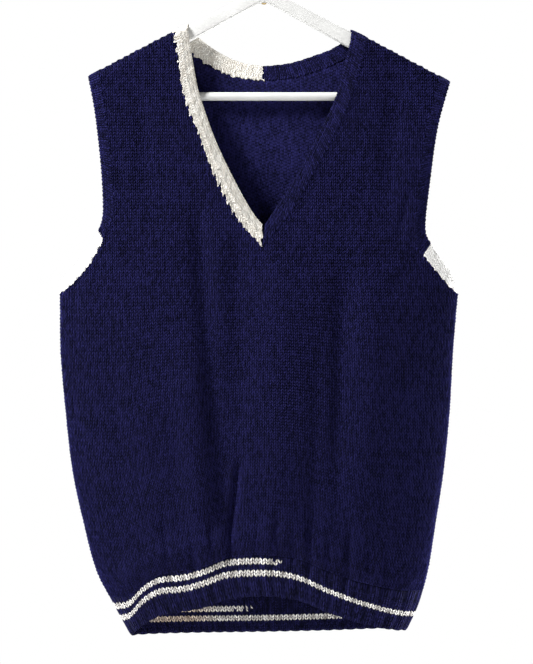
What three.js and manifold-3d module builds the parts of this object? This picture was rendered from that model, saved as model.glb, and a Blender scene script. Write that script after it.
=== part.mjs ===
// A hand-knitted V-neck sweater vest on a white coat hanger, hanging free.
// Millimetres, +Z up. The front faces -Y and +X is to the right of someone who looks at the front.
// The origin is the inside top of the hanger's hook, where it sits on its rail.
// "Left" and "right" in the names of values are as that person sees them.
import * as THREE from "three";
import { mergeVertices } from "three/addons/utils/BufferGeometryUtils.js";
import Module from "manifold-3d";

const { PI, abs, asin, cos, exp, floor, max, min, pow, round, sign, sin, sqrt } = Math;
const { degToRad, lerp, smoothstep } = THREE.MathUtils;
const wasm = await Module();
wasm.setup();

// Knitted cloth
const CLOTH = 2.6; // thickness of the wall
const SEAM_GAP = 0.3; // clearance between two pieces that are sewn together
const BAND_GAP = 0.45; // clearance between a panel and the band picked up along it
const UNDERARM_GAP = 0.9; // and where the band turns round the side
const HEM_GAP = 0.6; // clearance between a panel and the ribbing below it
const RIB_PITCH = 14.6; // one rib of two knit and two purl stitches
const RIB_PROFILE = [1, 1, 0]; // a rib's steps along the band: two high, one low
const RIB_RISE = 1.2; // how far a rib stands out of the wall
const PICKUP_RISE = 0.35; // the share of it where the band is picked up

// Shoulders, which lie on the hanger's arms
const SHOULDER_APEX_Z = -66; // where the two shoulder lines would meet
const SHOULDER_SLOPE = 0.525;
const SHOULDER_ROUND = 10; // height of the fold over the arm
const STRAP_REF_X = 150; // where a strap row's drop below the shoulder is measured
const SLANT_FULL_DROP = 60; // rows nearer the shoulder than this run parallel to it

// Levels of the vest
const UNDERARM_Z = -431; // where the armhole's picked-up edge meets the side
const UNDERARM_MOUTH_Z = -418.5; // and the band's outer edge
const V_TIP = { x: -2, z: -376 }; // lowest point of the picked-up neck edge
const V_MOUTH = { x: 0, z: -353 }; // lowest point of the neck opening
const RIB_HEIGHT = 47; // depth of the hem's ribbing

// The hanging body, one row for each level: side edges, depth in front of and behind the hanger's
// plane, and how square the section is (2 is an ellipse). Above the underarm it only guides the
// straps, which the armholes cut narrower than it.
const BODY = [
  { z: -60, left: -264, right: 264, front: 10.2, back: 10.2, square: 8 },
  { z: -190, left: -264, right: 264, front: 10.6, back: 10.4, square: 8 },
  { z: -250, left: -260, right: 256, front: 13, back: 12, square: 6.5 },
  { z: -310, left: -252, right: 246, front: 17, back: 14.5, square: 5 },
  { z: -370, left: -245, right: 236, front: 22, back: 17, square: 4 },
  { z: -431, left: -241, right: 229, front: 27, back: 20, square: 3.3 },
  { z: -500, left: -240, right: 223, front: 31, back: 22, square: 3 },
  { z: -570, left: -234, right: 219, front: 34, back: 24, square: 3 },
  { z: -640, left: -226, right: 212, front: 36, back: 25, square: 3 },
  { z: -705, left: -212, right: 202, front: 37, back: 26, square: 3 },
  { z: -760, left: -197, right: 193, front: 35, back: 26, square: 2.9 },
  { z: -800, left: -176, right: 181, front: 32, back: 25, square: 2.8 },
  { z: -840, left: -154, right: 162, front: 30, back: 24, square: 2.8 },
];

// Hem line of the front, which rides up in an arch, and of the back, which hangs level.
const FRONT_HEM = [
  { x: -200, z: -836 },
  { x: -160, z: -835 },
  { x: -142, z: -821 },
  { x: -122, z: -809 },
  { x: -98, z: -804 },
  { x: -68, z: -798 },
  { x: -44, z: -789 },
  { x: -12, z: -785 },
  { x: 18, z: -786 },
  { x: 44, z: -791 },
  { x: 72, z: -803 },
  { x: 106, z: -815 },
  { x: 140, z: -824 },
  { x: 164, z: -828 },
  { x: 200, z: -829 },
];
const BACK_HEM = [
  { x: -200, z: -836 },
  { x: -100, z: -835 },
  { x: 0, z: -834 },
  { x: 80, z: -832 },
  { x: 164, z: -828 },
  { x: 200, z: -829 },
];

// Armhole edges from the shoulder down, the same in front and behind: where the band is picked up
// (pick), and the band's outer edge (mouth). Both go on to the side seam at the underarm.
const LEFT_ARMHOLE = {
  pick: [
    { x: -199, z: -150 },
    { x: -189, z: -204 },
    { x: -183, z: -246 },
    { x: -179, z: -290 },
    { x: -176.5, z: -328 },
    { x: -178, z: -345 },
    { x: -184, z: -358 },
    { x: -191, z: -373 },
    { x: -199, z: -388 },
    { x: -208, z: -402 },
    { x: -220, z: -415 },
    { x: -231, z: -425 },
  ],
  mouth: [
    { x: -213, z: -150 },
    { x: -201.5, z: -204 },
    { x: -195.5, z: -246 },
    { x: -191, z: -290 },
    { x: -189, z: -328 },
    { x: -190, z: -345 },
    { x: -194.5, z: -358 },
    { x: -203, z: -373 },
    { x: -213.5, z: -388 },
    { x: -225, z: -402 },
    { x: -234, z: -411 },
  ],
  navyEndsZ: -368, // level where the picked-up edge changes from cream to navy
};
const RIGHT_ARMHOLE = {
  pick: [
    { x: 213, z: -150 },
    { x: 200, z: -204 },
    { x: 193, z: -232 },
    { x: 188, z: -260 },
    { x: 184, z: -290 },
    { x: 181, z: -320 },
    { x: 178.5, z: -345 },
    { x: 177.5, z: -362 },
    { x: 180, z: -375 },
    { x: 188.5, z: -388 },
    { x: 199.5, z: -402 },
    { x: 211, z: -415 },
    { x: 220, z: -425 },
  ],
  mouth: [
    { x: 229, z: -150 },
    { x: 213, z: -204 },
    { x: 205.5, z: -232 },
    { x: 200.5, z: -260 },
    { x: 196.5, z: -290 },
    { x: 192.6, z: -320 },
    { x: 189.8, z: -345 },
    { x: 190.2, z: -362 },
    { x: 197, z: -375 },
    { x: 206, z: -388 },
    { x: 216.5, z: -402 },
    { x: 223, z: -411 },
  ],
  navyEndsZ: -386,
};

// Front neck edges from the shoulder down to the V, and back neck edges from the shoulder to the
// middle of the back.
const LEFT_NECK = {
  pick: [
    { x: -110, z: -100 },
    { x: -102, z: -143 },
    { x: -99, z: -168 },
    { x: -95.5, z: -189 },
    { x: -88, z: -214 },
    { x: -78.5, z: -238 },
    { x: -69, z: -264 },
    { x: -61, z: -285 },
    { x: -47, z: -314 },
    { x: -34, z: -339 },
    { x: -19, z: -358 },
    V_TIP,
  ],
  mouth: [
    { x: -93, z: -95 },
    { x: -87, z: -138 },
    { x: -82.5, z: -165 },
    { x: -77.5, z: -191 },
    { x: -70.5, z: -214 },
    { x: -60, z: -244 },
    { x: -47, z: -274 },
    { x: -33.5, z: -301 },
    { x: -20, z: -326 },
    { x: -9, z: -343 },
    V_MOUTH,
  ],
  backPick: [
    { x: -110, z: -100 },
    { x: -103, z: -129 },
    { x: -84, z: -147 },
    { x: -60, z: -163 },
    { x: -34, z: -174 },
    { x: 0, z: -179 },
  ],
  backMouth: [
    { x: -94, z: -95 },
    { x: -88, z: -116 },
    { x: -72, z: -133 },
    { x: -50, z: -148 },
    { x: -27, z: -158 },
    { x: 0, z: -162.5 },
  ],
};
const RIGHT_NECK = {
  pick: [
    { x: 124, z: -100 },
    { x: 117, z: -150 },
    { x: 108.5, z: -180 },
    { x: 101, z: -204 },
    { x: 93.5, z: -222 },
    { x: 83, z: -244 },
    { x: 67.5, z: -273 },
    { x: 56.5, z: -293 },
    { x: 44, z: -315 },
    { x: 29, z: -339 },
    { x: 14.5, z: -358 },
    V_TIP,
  ],
  mouth: [
    { x: 108, z: -95 },
    { x: 99.5, z: -145 },
    { x: 93.5, z: -168 },
    { x: 86.5, z: -194 },
    { x: 80.5, z: -210 },
    { x: 71, z: -230 },
    { x: 55, z: -262 },
    { x: 44, z: -283 },
    { x: 31.5, z: -305 },
    { x: 17.5, z: -326 },
    { x: 6.5, z: -343 },
    V_MOUTH,
  ],
  backPick: [
    { x: 124, z: -100 },
    { x: 117, z: -137 },
    { x: 92, z: -155 },
    { x: 64, z: -167 },
    { x: 34, z: -175.5 },
    { x: 0, z: -179 },
  ],
  backMouth: [
    { x: 109, z: -95 },
    { x: 101, z: -124 },
    { x: 84, z: -140 },
    { x: 58, z: -150.5 },
    { x: 30, z: -159 },
    { x: 0, z: -162.5 },
  ],
};

// Soft folds, one row each: where a fold starts and ends, its half width, and its depth, which is
// positive for a trough and negative for a ridge.
const FRONT_FOLDS = [
  { x0: -30, z0: -372, x1: -35, z1: -735, wide: 20, deep: 5.5 },
  { x0: -88, z0: -500, x1: -76, z1: -735, wide: 22, deep: -4 },
  { x0: 26, z0: -420, x1: 16, z1: -735, wide: 26, deep: -3 },
  { x0: 96, z0: -400, x1: 84, z1: -640, wide: 17, deep: 3.2 },
  { x0: 128, z0: -430, x1: 116, z1: -735, wide: 20, deep: -2.6 },
  { x0: -184, z0: -470, x1: -158, z1: -700, wide: 16, deep: 3 },
  { x0: 168, z0: -520, x1: 158, z1: -740, wide: 14, deep: 2.4 },
  { x0: -150, z0: -190, x1: -135, z1: -330, wide: 14, deep: 1.8 },
  { x0: 154, z0: -186, x1: 146, z1: -332, wide: 14, deep: 2.6 },
];
const BACK_FOLDS = [
  { x0: -62, z0: -330, x1: -70, z1: -740, wide: 20, deep: 4 },
  { x0: 10, z0: -300, x1: 4, z1: -735, wide: 24, deep: -3 },
  { x0: 78, z0: -360, x1: 70, z1: -735, wide: 18, deep: 3.6 },
  { x0: -140, z0: -430, x1: -128, z1: -720, wide: 18, deep: -2.4 },
  { x0: 148, z0: -450, x1: 138, z1: -730, wide: 16, deep: 2.8 },
];
const FOLD_END = 45; // length over which a fold fades in and out

// The cloth blouses over the ribbing and is gathered into it.
const BLOUSE_RISE = 4; // how far it stands out
const BLOUSE_ABOVE = 22; // height of its fullest line above the ribbing
const BLOUSE_REACH = 17;
const GATHER_RISE = 1.3;
const GATHER_PITCH = 4 * RIB_PITCH;
const GATHER_HEIGHT = 46;

// Rows and columns of the panels
const HALF_COLUMNS = 14;
const COLUMN_EVENING = 0.25; // how much the middle columns are narrowed
const BODY_SHARES = [0, 0.022, 0.055, 0.1, 0.17, 0.26, 0.36, 0.46, 0.56, 0.66, 0.77, 0.89, 1];
const LEVELS = [-428, -422, -411, -395, V_TIP.z];
const STRAP_DROPS = [200, 172, 144, 120, 101, 90, 79, 62, 45, 28, 15, 7, 2.2, 0];
const BACK_NECK_DROP = 101; // the row that the back neck's lowest point lies on
const HEM_SHARES = [0, 0.33, 0.67, 1];

// Hanger
const BOW_THICKNESS = 12;
const BOW_BEVEL = 4;
const BOW_TOP_DROP = 4.2; // from the cloth's shoulder line down to the bow's upper edge
const BOW_UNDER_Z = -89; // underside below the hook
const BOW_UNDER_SLOPE = 0.55;
const BOW_UNDER_FLAT = 4.5; // half width of the flat around the hook's shank
const BOW_CROWN = 16; // half width of the rounded top
const BAR_Z = -199.4;
const BAR_RADIUS = 5;
const BAR_SIDES = 20;
const LUG_INNER_X = 171; // the arm's end turns down to hold the bar
const ARM_END_X = 194;
const LUG_BELOW_BAR = 9;
const LUG_CORNER = 8;
const WIRE_RADIUS = 1.8;
const LOOP_RADIUS = 20; // hook's loop, to the middle of the wire
const LOOP_TIP_ANGLE = 205; // degrees, counted from +X towards +Z
const LOOP_END_ANGLE = -48;
const SHANK_TOP_Z = -58;
const SHANK_HEAD_RADIUS = 3.2; // the shank's end is headed over under the bow
const SHANK_HEAD_HEIGHT = 1.6;
const HOOK_STEPS = 40;
const HOOK_SIDES = 8;
const HOLE_CLEARANCE = 0.3;

// Colours
const NAVY = 0x17173a;
const CREAM = 0xddd9cc;
const WHITE = 0xf2f2f0;
const BRASS = 0x8f7440;

// Smooth cubic through a table's column, level beyond its ends. The key column falls or rises.
function smoothColumn(rows, key, column, at) {
  const last = rows.length - 1;
  const rising = rows[last][key] > rows[0][key] ? 1 : -1;
  if ((at - rows[0][key]) * rising <= 0) return rows[0][column];
  if ((at - rows[last][key]) * rising >= 0) return rows[last][column];
  let i = 0;
  while ((at - rows[i + 1][key]) * rising > 0) i++;
  const slope = (j) => {
    const a = rows[max(j - 1, 0)];
    const b = rows[min(j + 1, last)];
    return (b[column] - a[column]) / (b[key] - a[key]);
  };
  const span = rows[i + 1][key] - rows[i][key];
  const t = (at - rows[i][key]) / span;
  const t2 = t * t;
  const t3 = t2 * t;
  return (
    (2 * t3 - 3 * t2 + 1) * rows[i][column] +
    (t3 - 2 * t2 + t) * span * slope(i) +
    (3 * t2 - 2 * t3) * rows[i + 1][column] +
    (t3 - t2) * span * slope(i + 1)
  );
}

const shoulderTop = (x) => SHOULDER_APEX_Z - SHOULDER_SLOPE * abs(x);
const hemAt = (front, x) => smoothColumn(front ? FRONT_HEM : BACK_HEM, "x", "z", x);
const sideAt = (side, z) => smoothColumn(BODY, "z", side, z);
const bodyCentre = (z) => (sideAt("left", z) + sideAt("right", z)) / 2;
const bodyHalf = (z) => (sideAt("right", z) - sideAt("left", z)) / 2;
const depthAt = (front, z) => smoothColumn(BODY, "z", front ? "front" : "back", z);

// A place across a panel is an angle: -PI/2 at the left side seam, 0 in the middle, PI/2 at the right.
const xAt = (angle, z) => bodyCentre(z) + bodyHalf(z) * sin(angle);
const angleAt = (x, z) => asin(min(max((x - bodyCentre(z)) / bodyHalf(z), -1), 1));

// The point at an angle where a line that is given as its height at x crosses the section.
function placeAt(front, angle, heightAt) {
  let z = heightAt(0);
  for (let i = 0; i < 12; i++) z = heightAt(xAt(angle, z));
  return { front, x: xAt(angle, z), z };
}

// How far the folds push the cloth in at a point.
function foldDepth(folds, x, z) {
  let sum = 0;
  for (const f of folds) {
    const down = (z - f.z0) / (f.z1 - f.z0);
    const middle = lerp(f.x0, f.x1, min(max(down, 0), 1));
    const fade = smoothstep(f.z0 - z, -FOLD_END, FOLD_END) * smoothstep(z - f.z1, -FOLD_END, FOLD_END);
    sum += f.deep * exp(-(((x - middle) / f.wide) ** 2)) * fade;
  }
  return sum;
}

// How far the blouse and its gathers push the cloth out above the ribbing.
function blouseRise(front, x, z) {
  const above = z - (hemAt(front, x) + RIB_HEIGHT);
  if (above < 0) return 0;
  const puff = BLOUSE_RISE * exp(-(((above - BLOUSE_ABOVE) / BLOUSE_REACH) ** 2));
  const gather = GATHER_RISE * (1 - smoothstep(above, 6, GATHER_HEIGHT)) * cos((2 * PI * x) / GATHER_PITCH);
  return smoothstep(above, 0, 5) * (puff + gather);
}

// How deep the body's section is at an angle, from 1 in the middle to 0 at the side seams.
function sectionReach(angle, z) {
  const reach = sqrt(max(0, 1 - pow(abs(sin(angle)), smoothColumn(BODY, "z", "square", z))));
  return cos(angle) < 0 ? -reach : reach;
}

// The cloth's outer face at a place across a panel and a level.
function form(front, angle, z) {
  const x = xAt(angle, z);
  const reach = sectionReach(angle, z);
  const below = min(max(shoulderTop(x) - z, 0), SHOULDER_ROUND);
  const over = sqrt(1 - ((SHOULDER_ROUND - below) / SHOULDER_ROUND) ** 2);
  const shaped = blouseRise(front, x, z) - foldDepth(front ? FRONT_FOLDS : BACK_FOLDS, x, z);
  const y = (depthAt(front, z) + shaped * abs(reach)) * reach * over;
  return new THREE.Vector3(x, front ? -y : y, z);
}

// The outward direction there. On the fold over the hanger's arm it comes from the fold's ellipse.
function formNormal(front, angle, z) {
  const p = form(front, angle, z);
  const below = max(shoulderTop(p.x) - z, 0);
  if (below < SHOULDER_ROUND) {
    const up = (SHOULDER_ROUND - below) / SHOULDER_ROUND ** 2;
    const deep = depthAt(front, z) * sectionReach(angle, z);
    return new THREE.Vector3(sign(p.x) * SHOULDER_SLOPE * up, p.y / deep ** 2, up).normalize();
  }
  const turn = 0.01;
  const rise = 0.5;
  const across = form(front, angle + turn, z).sub(form(front, angle - turn, z));
  const upward = form(front, angle, z + rise).sub(form(front, angle, z - rise));
  const normal = across.cross(upward).normalize();
  return front ? normal : normal.negate();
}

// Outer and inner points of the cloth at {front, x, z}, the outer one raised by a relief.
function clothPoints({ front, x, z }, relief = 0) {
  const angle = angleAt(x, z);
  const point = form(front, angle, z);
  const normal = formNormal(front, angle, z);
  return {
    outer: point.clone().addScaledVector(normal, relief),
    inner: point.addScaledVector(normal, -CLOTH),
  };
}

// Triangles of a wall whose grid holds outer and inner points. Rims named in "open" are left out.
function wall(grid, open = []) {
  const points = [];
  const quad = (a, b, c, d) => points.push(a, b, c, a, c, d);
  const rows = grid.length - 1;
  const columns = grid[0].length - 1;
  const out = (r, c) => grid[r][c].outer;
  const inn = (r, c) => grid[r][c].inner;
  for (let r = 0; r < rows; r++) {
    for (let c = 0; c < columns; c++) {
      quad(out(r, c), out(r, c + 1), out(r + 1, c + 1), out(r + 1, c));
      quad(inn(r, c), inn(r + 1, c), inn(r + 1, c + 1), inn(r, c + 1));
    }
    quad(out(r, 0), out(r + 1, 0), inn(r + 1, 0), inn(r, 0));
    quad(out(r, columns), inn(r, columns), inn(r + 1, columns), out(r + 1, columns));
  }
  for (let c = 0; c < columns; c++) {
    if (!open.includes("bottom")) quad(out(0, c), inn(0, c), inn(0, c + 1), out(0, c + 1));
    if (!open.includes("top")) quad(out(rows, c), out(rows, c + 1), inn(rows, c + 1), inn(rows, c));
  }
  return points;
}

// A geometry from triangles' corners, turned to face out.
function solidGeometry(points) {
  const corners = [...points];
  const normal = new THREE.Vector3();
  let volume = 0;
  for (let i = 0; i < corners.length; i += 3)
    volume += corners[i].dot(normal.crossVectors(corners[i + 1], corners[i + 2]));
  if (volume < 0) corners.reverse();
  const geometry = new THREE.BufferGeometry().setFromPoints(corners);
  geometry.computeVertexNormals();
  return geometry;
}

// Smooth edge through a table of {x, z} rows.
const EDGE_SAMPLES = 30;
function smoothEdge(rows) {
  const curve = new THREE.SplineCurve(rows.map((r) => new THREE.Vector2(r.x, r.z)));
  return curve.getPoints(EDGE_SAMPLES * rows.length).map((p) => ({ x: p.x, z: p.y }));
}

// Where an edge crosses a line that is given as its height at x.
function crossing(edge, heightAt) {
  const above = edge.map((p) => p.z - heightAt(p.x));
  const i = above.findIndex((v, k) => k > 0 && v * above[k - 1] <= 0);
  const t = above[i - 1] / (above[i - 1] - above[i]);
  return { x: lerp(edge[i - 1].x, edge[i].x, t), z: lerp(edge[i - 1].z, edge[i].z, t) };
}

// The panels' rows: shares of the way from the ribbing to the underarm, levels across the
// armholes, and drops below the shoulder line.
const PANEL_ROWS = [
  ...BODY_SHARES.map((share) => ({ share })),
  ...LEVELS.map((level) => ({ level })),
  ...STRAP_DROPS.map((drop) => ({ drop })),
];
const UNDERARM_ROW = BODY_SHARES.length - 1;
const V_ROW = UNDERARM_ROW + LEVELS.length;
const BACK_NECK_ROW = V_ROW + 1 + STRAP_DROPS.indexOf(BACK_NECK_DROP);
const TOP_ROW = PANEL_ROWS.length - 1;

function rowHeight(front, row, x) {
  if (row.share !== undefined) return lerp(hemAt(front, x) + RIB_HEIGHT + HEM_GAP, UNDERARM_Z, row.share);
  if (row.level !== undefined) return row.level;
  const reference = shoulderTop(STRAP_REF_X);
  const slant = 1 - smoothstep(row.drop, SLANT_FULL_DROP, reference - V_TIP.z);
  return reference - row.drop + slant * (shoulderTop(x) - reference);
}
const BACK_TIP = { x: 0, z: rowHeight(false, { drop: BACK_NECK_DROP }, 0) };

// The panel's corners on a cut edge, one for each row from the first row given up to the shoulder.
function cornersOn(front, edgeRows, firstRow) {
  const edge = smoothEdge(edgeRows);
  const rows = PANEL_ROWS.slice(firstRow);
  return rows.map((row) => ({ front, ...crossing(edge, (x) => rowHeight(front, row, x)) }));
}

const SIDES = [
  { name: "left", armhole: LEFT_ARMHOLE, neck: LEFT_NECK },
  { name: "right", armhole: RIGHT_ARMHOLE, neck: RIGHT_NECK },
];
for (const side of SIDES) {
  const seam = { x: sideAt(side.name, UNDERARM_Z), z: UNDERARM_Z };
  const armRows = [...side.armhole.pick, seam];
  const cut = (front, tip, tipRow, neckRows) => ({
    arm: [{ front, ...seam }, ...cornersOn(front, armRows, UNDERARM_ROW + 1)],
    neck: [{ front, ...tip }, ...cornersOn(front, neckRows, tipRow + 1)],
    tip,
    tipRow,
  });
  side.front = cut(true, V_TIP, V_ROW, side.neck.pick);
  side.back = cut(false, BACK_TIP, BACK_NECK_ROW, side.neck.backPick);
  const { x, z } = side.front.neck.at(-1);
  Object.assign(side.back.neck.at(-1), { x, z });
}

// One half of a panel's row, from its outer end to the middle or the neck.
function halfRow(front, side, r) {
  const cuts = front ? side.front : side.back;
  const heightAt = (x) => rowHeight(front, PANEL_ROWS[r], x);
  const outer = r > UNDERARM_ROW ? cuts.arm[r - UNDERARM_ROW] : null;
  const inner = r > cuts.tipRow ? cuts.neck[r - cuts.tipRow] : { x: cuts.tip.x, z: heightAt(cuts.tip.x) };
  const from = outer ? angleAt(outer.x, outer.z) : (side.name === "left" ? -PI : PI) / 2;
  const to = angleAt(inner.x, inner.z);
  return Array.from({ length: HALF_COLUMNS + 1 }, (_, c) => {
    const t = c / HALF_COLUMNS;
    const even = r > cuts.tipRow ? t : t - (COLUMN_EVENING * sin(2 * PI * t)) / (2 * PI);
    return placeAt(front, lerp(from, to, even), heightAt);
  });
}

// Half a gap short of the panel on the other side, for points on a seam between front and back.
function stopAtSeam(front, points) {
  points.outer.y = points.inner.y = ((front ? -1 : 1) * SEAM_GAP) / 2;
}

function panel(front) {
  const tipRow = front ? V_ROW : BACK_NECK_ROW;
  const [left, right] = SIDES.map((side) =>
    PANEL_ROWS.map((_, r) =>
      halfRow(front, side, r).map((place, c) => {
        const points = clothPoints(place);
        if (r === TOP_ROW || (c === 0 && r <= UNDERARM_ROW)) stopAtSeam(front, points);
        return points;
      }),
    ),
  );
  const body = left.slice(0, tipRow + 1).map((row, r) => [...row, ...right[r].slice(0, -1).reverse()]);
  const straps = [left, right].map((half) => half.slice(tipRow));
  straps[1] = straps[1].map((row) => [...row].reverse());
  return solidGeometry([...wall(body, ["top"]), ...straps.flatMap((grid) => wall(grid, ["bottom"]))]);
}

// A stretch of an edge, with lengths measured along the cloth.
function stretch(points) {
  const places = points.map((p) => clothPoints(p).outer);
  const lengths = [0];
  for (let i = 1; i < points.length; i++)
    lengths.push(lengths[i - 1] + places[i].distanceTo(places[i - 1]));
  return { points, lengths, total: lengths.at(-1) };
}

function alongStretch({ points, lengths, total }, share) {
  const at = min(max(share, 0), 1) * total;
  let i = 1;
  while (i < points.length - 1 && lengths[i] < at) i++;
  const t = (at - lengths[i - 1]) / (lengths[i] - lengths[i - 1]);
  const [a, b] = [points[i - 1], points[i]];
  return { front: a.front && b.front, x: lerp(a.x, b.x, t), z: lerp(a.z, b.z, t) };
}

// The length along a rising stretch at which it reaches a level.
function lengthTo({ points, lengths }, level) {
  const i = points.findIndex((p) => p.z > level);
  const t = (level - points[i - 1].z) / (points[i].z - points[i - 1].z);
  return lerp(lengths[i - 1], lengths[i], t);
}

// A path over the shoulder: a stretch up the front and one down the back.
function overShoulder(frontPoints, backPoints) {
  const down = [...backPoints].reverse().slice(1);
  return [stretch(frontPoints), stretch([frontPoints.at(-1), ...down])];
}

// A mouth edge from its table, from the bottom up to where it meets the shoulder line.
function mouthEdge(front, rows) {
  const edge = smoothEdge(rows);
  const top = crossing(edge, shoulderTop);
  const below = edge.filter((p) => p.z < top.z - 1).reverse();
  return [...below, top].map((p) => ({ front, ...p }));
}

// A ribbed band between a picked-up edge and a mouth edge, both of them paths over the shoulder. It
// runs between two lengths along the picked-up edge, and wraps round where they pass its ends.
function band(pick, mouth, from, to, clearance = BAND_GAP) {
  const whole = pick[0].total + pick[1].total;
  const steps = RIB_PROFILE.length * round((to - from) / RIB_PITCH) + 1;
  const grid = Array.from({ length: steps + 1 }, (_, i) => {
    const at = lerp(from, to, i / steps);
    const wrapped = at - floor(at / whole) * whole;
    const stage = wrapped <= pick[0].total ? 0 : 1;
    const share = (wrapped - stage * pick[0].total) / pick[stage].total;
    const rise = RIB_RISE * RIB_PROFILE[i % RIB_PROFILE.length];
    const low = clothPoints(alongStretch(pick[stage], share), rise * PICKUP_RISE);
    const high = clothPoints(alongStretch(mouth[stage], share), rise);
    const gap = clearance / low.inner.distanceTo(high.inner);
    low.outer.lerp(high.outer, gap);
    low.inner.lerp(high.inner, gap);
    return [low, high];
  });
  return solidGeometry(wall(grid));
}

// One colour's half of the neck band, from the V over the shoulder to the middle of the back.
function neckband(side) {
  const pick = overShoulder(side.front.neck, side.back.neck);
  const mouth = overShoulder(mouthEdge(true, side.neck.mouth), mouthEdge(false, side.neck.backMouth));
  const endGap = SEAM_GAP * 0.8;
  return band(pick, mouth, endGap, pick[0].total + pick[1].total - endGap);
}

// The navy arch over the shoulder, or the cream strip that goes round the underarm.
function armholeBand(side, isNavy) {
  const pick = overShoulder(side.front.arm, side.back.arm);
  const rows = [...side.armhole.mouth, { x: sideAt(side.name, UNDERARM_MOUTH_Z), z: UNDERARM_MOUTH_Z }];
  const mouth = overShoulder(mouthEdge(true, rows), mouthEdge(false, rows));
  const whole = pick[0].total + pick[1].total;
  const join = lengthTo(pick[0], side.armhole.navyEndsZ);
  const half = SEAM_GAP / 2;
  if (isNavy) return band(pick, mouth, join + half, whole - join - half);
  return band(pick, mouth, half - join, join - half, UNDERARM_GAP);
}

// Ribbing at the hem, hung from the panel's lowest row.
function hemRib(front) {
  const [left, right] = SIDES.map((side) => halfRow(front, side, 0));
  const seam = [...left, ...right.slice(0, -1).reverse()];
  const topAt = (x) => {
    const i = max(1, seam.findIndex((p) => p.x >= x));
    const t = (x - seam[i - 1].x) / (seam[i].x - seam[i - 1].x);
    return lerp(seam[i - 1].z, seam[i].z, min(max(t, 0), 1)) - HEM_GAP;
  };
  const samples = 200;
  const middle = Array.from({ length: samples + 1 }, (_, i) =>
    placeAt(front, lerp(-PI / 2, PI / 2, i / samples), (x) => hemAt(front, x) + RIB_HEIGHT / 2),
  );
  const path = stretch(middle);
  const steps = RIB_PROFILE.length * round(path.total / RIB_PITCH) + 1;
  const grid = HEM_SHARES.map((share) =>
    Array.from({ length: steps + 1 }, (_, i) => {
      const at = alongStretch(path, i / steps);
      const rise = RIB_RISE * RIB_PROFILE[i % RIB_PROFILE.length] * (share < 1 ? 1 : PICKUP_RISE);
      const place = placeAt(front, angleAt(at.x, at.z), (x) => lerp(hemAt(front, x), topAt(x), share));
      const points = clothPoints(place, rise);
      if (i === 0 || i === steps) stopAtSeam(front, points);
      return points;
    }),
  );
  return solidGeometry(wall(grid));
}

// To and from solids that can be cut and joined
function toManifold(geometry) {
  const bare = geometry.clone();
  bare.deleteAttribute("normal");
  bare.deleteAttribute("uv");
  const merged = mergeVertices(bare, 1e-4);
  const vertProperties = merged.attributes.position.array;
  return new wasm.Manifold(new wasm.Mesh({ numProp: 3, vertProperties, triVerts: merged.index.array }));
}
function fromManifold(solid) {
  const mesh = solid.getMesh();
  const geometry = new THREE.BufferGeometry();
  geometry.setAttribute("position", new THREE.BufferAttribute(mesh.vertProperties, 3));
  geometry.setIndex(new THREE.BufferAttribute(mesh.triVerts, 1));
  geometry.computeVertexNormals();
  return geometry;
}

// The hanger's two arms in one bow, with a hole for the hook and lugs that hold the bar.
function hangerBow() {
  const top = (x) => shoulderTop(x) - BOW_TOP_DROP;
  const under = (x) => BOW_UNDER_Z - BOW_UNDER_SLOPE * (abs(x) - BOW_UNDER_FLAT);
  const lugZ = BAR_Z - LUG_BELOW_BAR;
  const corner = ARM_END_X - LUG_CORNER;
  const outline = new THREE.Shape();
  outline.moveTo(-BOW_CROWN, top(BOW_CROWN));
  outline.quadraticCurveTo(0, top(0), BOW_CROWN, top(BOW_CROWN));
  outline.lineTo(corner, top(corner));
  outline.quadraticCurveTo(ARM_END_X, top(ARM_END_X), ARM_END_X, top(ARM_END_X) - LUG_CORNER);
  outline.lineTo(ARM_END_X, lugZ + LUG_CORNER);
  outline.quadraticCurveTo(ARM_END_X, lugZ, corner, lugZ);
  outline.lineTo(LUG_INNER_X, lugZ);
  outline.lineTo(LUG_INNER_X, under(LUG_INNER_X));
  outline.lineTo(BOW_UNDER_FLAT, BOW_UNDER_Z);
  outline.lineTo(-BOW_UNDER_FLAT, BOW_UNDER_Z);
  outline.lineTo(-LUG_INNER_X, under(LUG_INNER_X));
  outline.lineTo(-LUG_INNER_X, lugZ);
  outline.lineTo(-corner, lugZ);
  outline.quadraticCurveTo(-ARM_END_X, lugZ, -ARM_END_X, lugZ + LUG_CORNER);
  outline.lineTo(-ARM_END_X, top(ARM_END_X) - LUG_CORNER);
  outline.quadraticCurveTo(-ARM_END_X, top(ARM_END_X), -corner, top(corner));
  const body = new THREE.ExtrudeGeometry(outline, {
    depth: BOW_THICKNESS - 2 * BOW_BEVEL,
    bevelThickness: BOW_BEVEL,
    bevelSize: BOW_BEVEL,
    bevelOffset: -BOW_BEVEL,
    bevelSegments: 2,
    curveSegments: 4,
  });
  body.rotateX(PI / 2).translate(0, BOW_THICKNESS / 2 - BOW_BEVEL, 0);
  const holeRadius = WIRE_RADIUS + HOLE_CLEARANCE;
  const hole = new THREE.CylinderGeometry(holeRadius, holeRadius, 4 * LOOP_RADIUS, 12);
  hole.rotateX(PI / 2).translate(0, 0, BOW_UNDER_Z);
  return fromManifold(toManifold(body).subtract(toManifold(hole)));
}

// The trouser bar, between the lugs.
function hangerBar() {
  const length = 2 * (LUG_INNER_X - SEAM_GAP);
  const bar = new THREE.CylinderGeometry(BAR_RADIUS, BAR_RADIUS, length, BAR_SIDES);
  return bar.rotateZ(PI / 2).translate(0, 0, BAR_Z);
}

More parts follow.
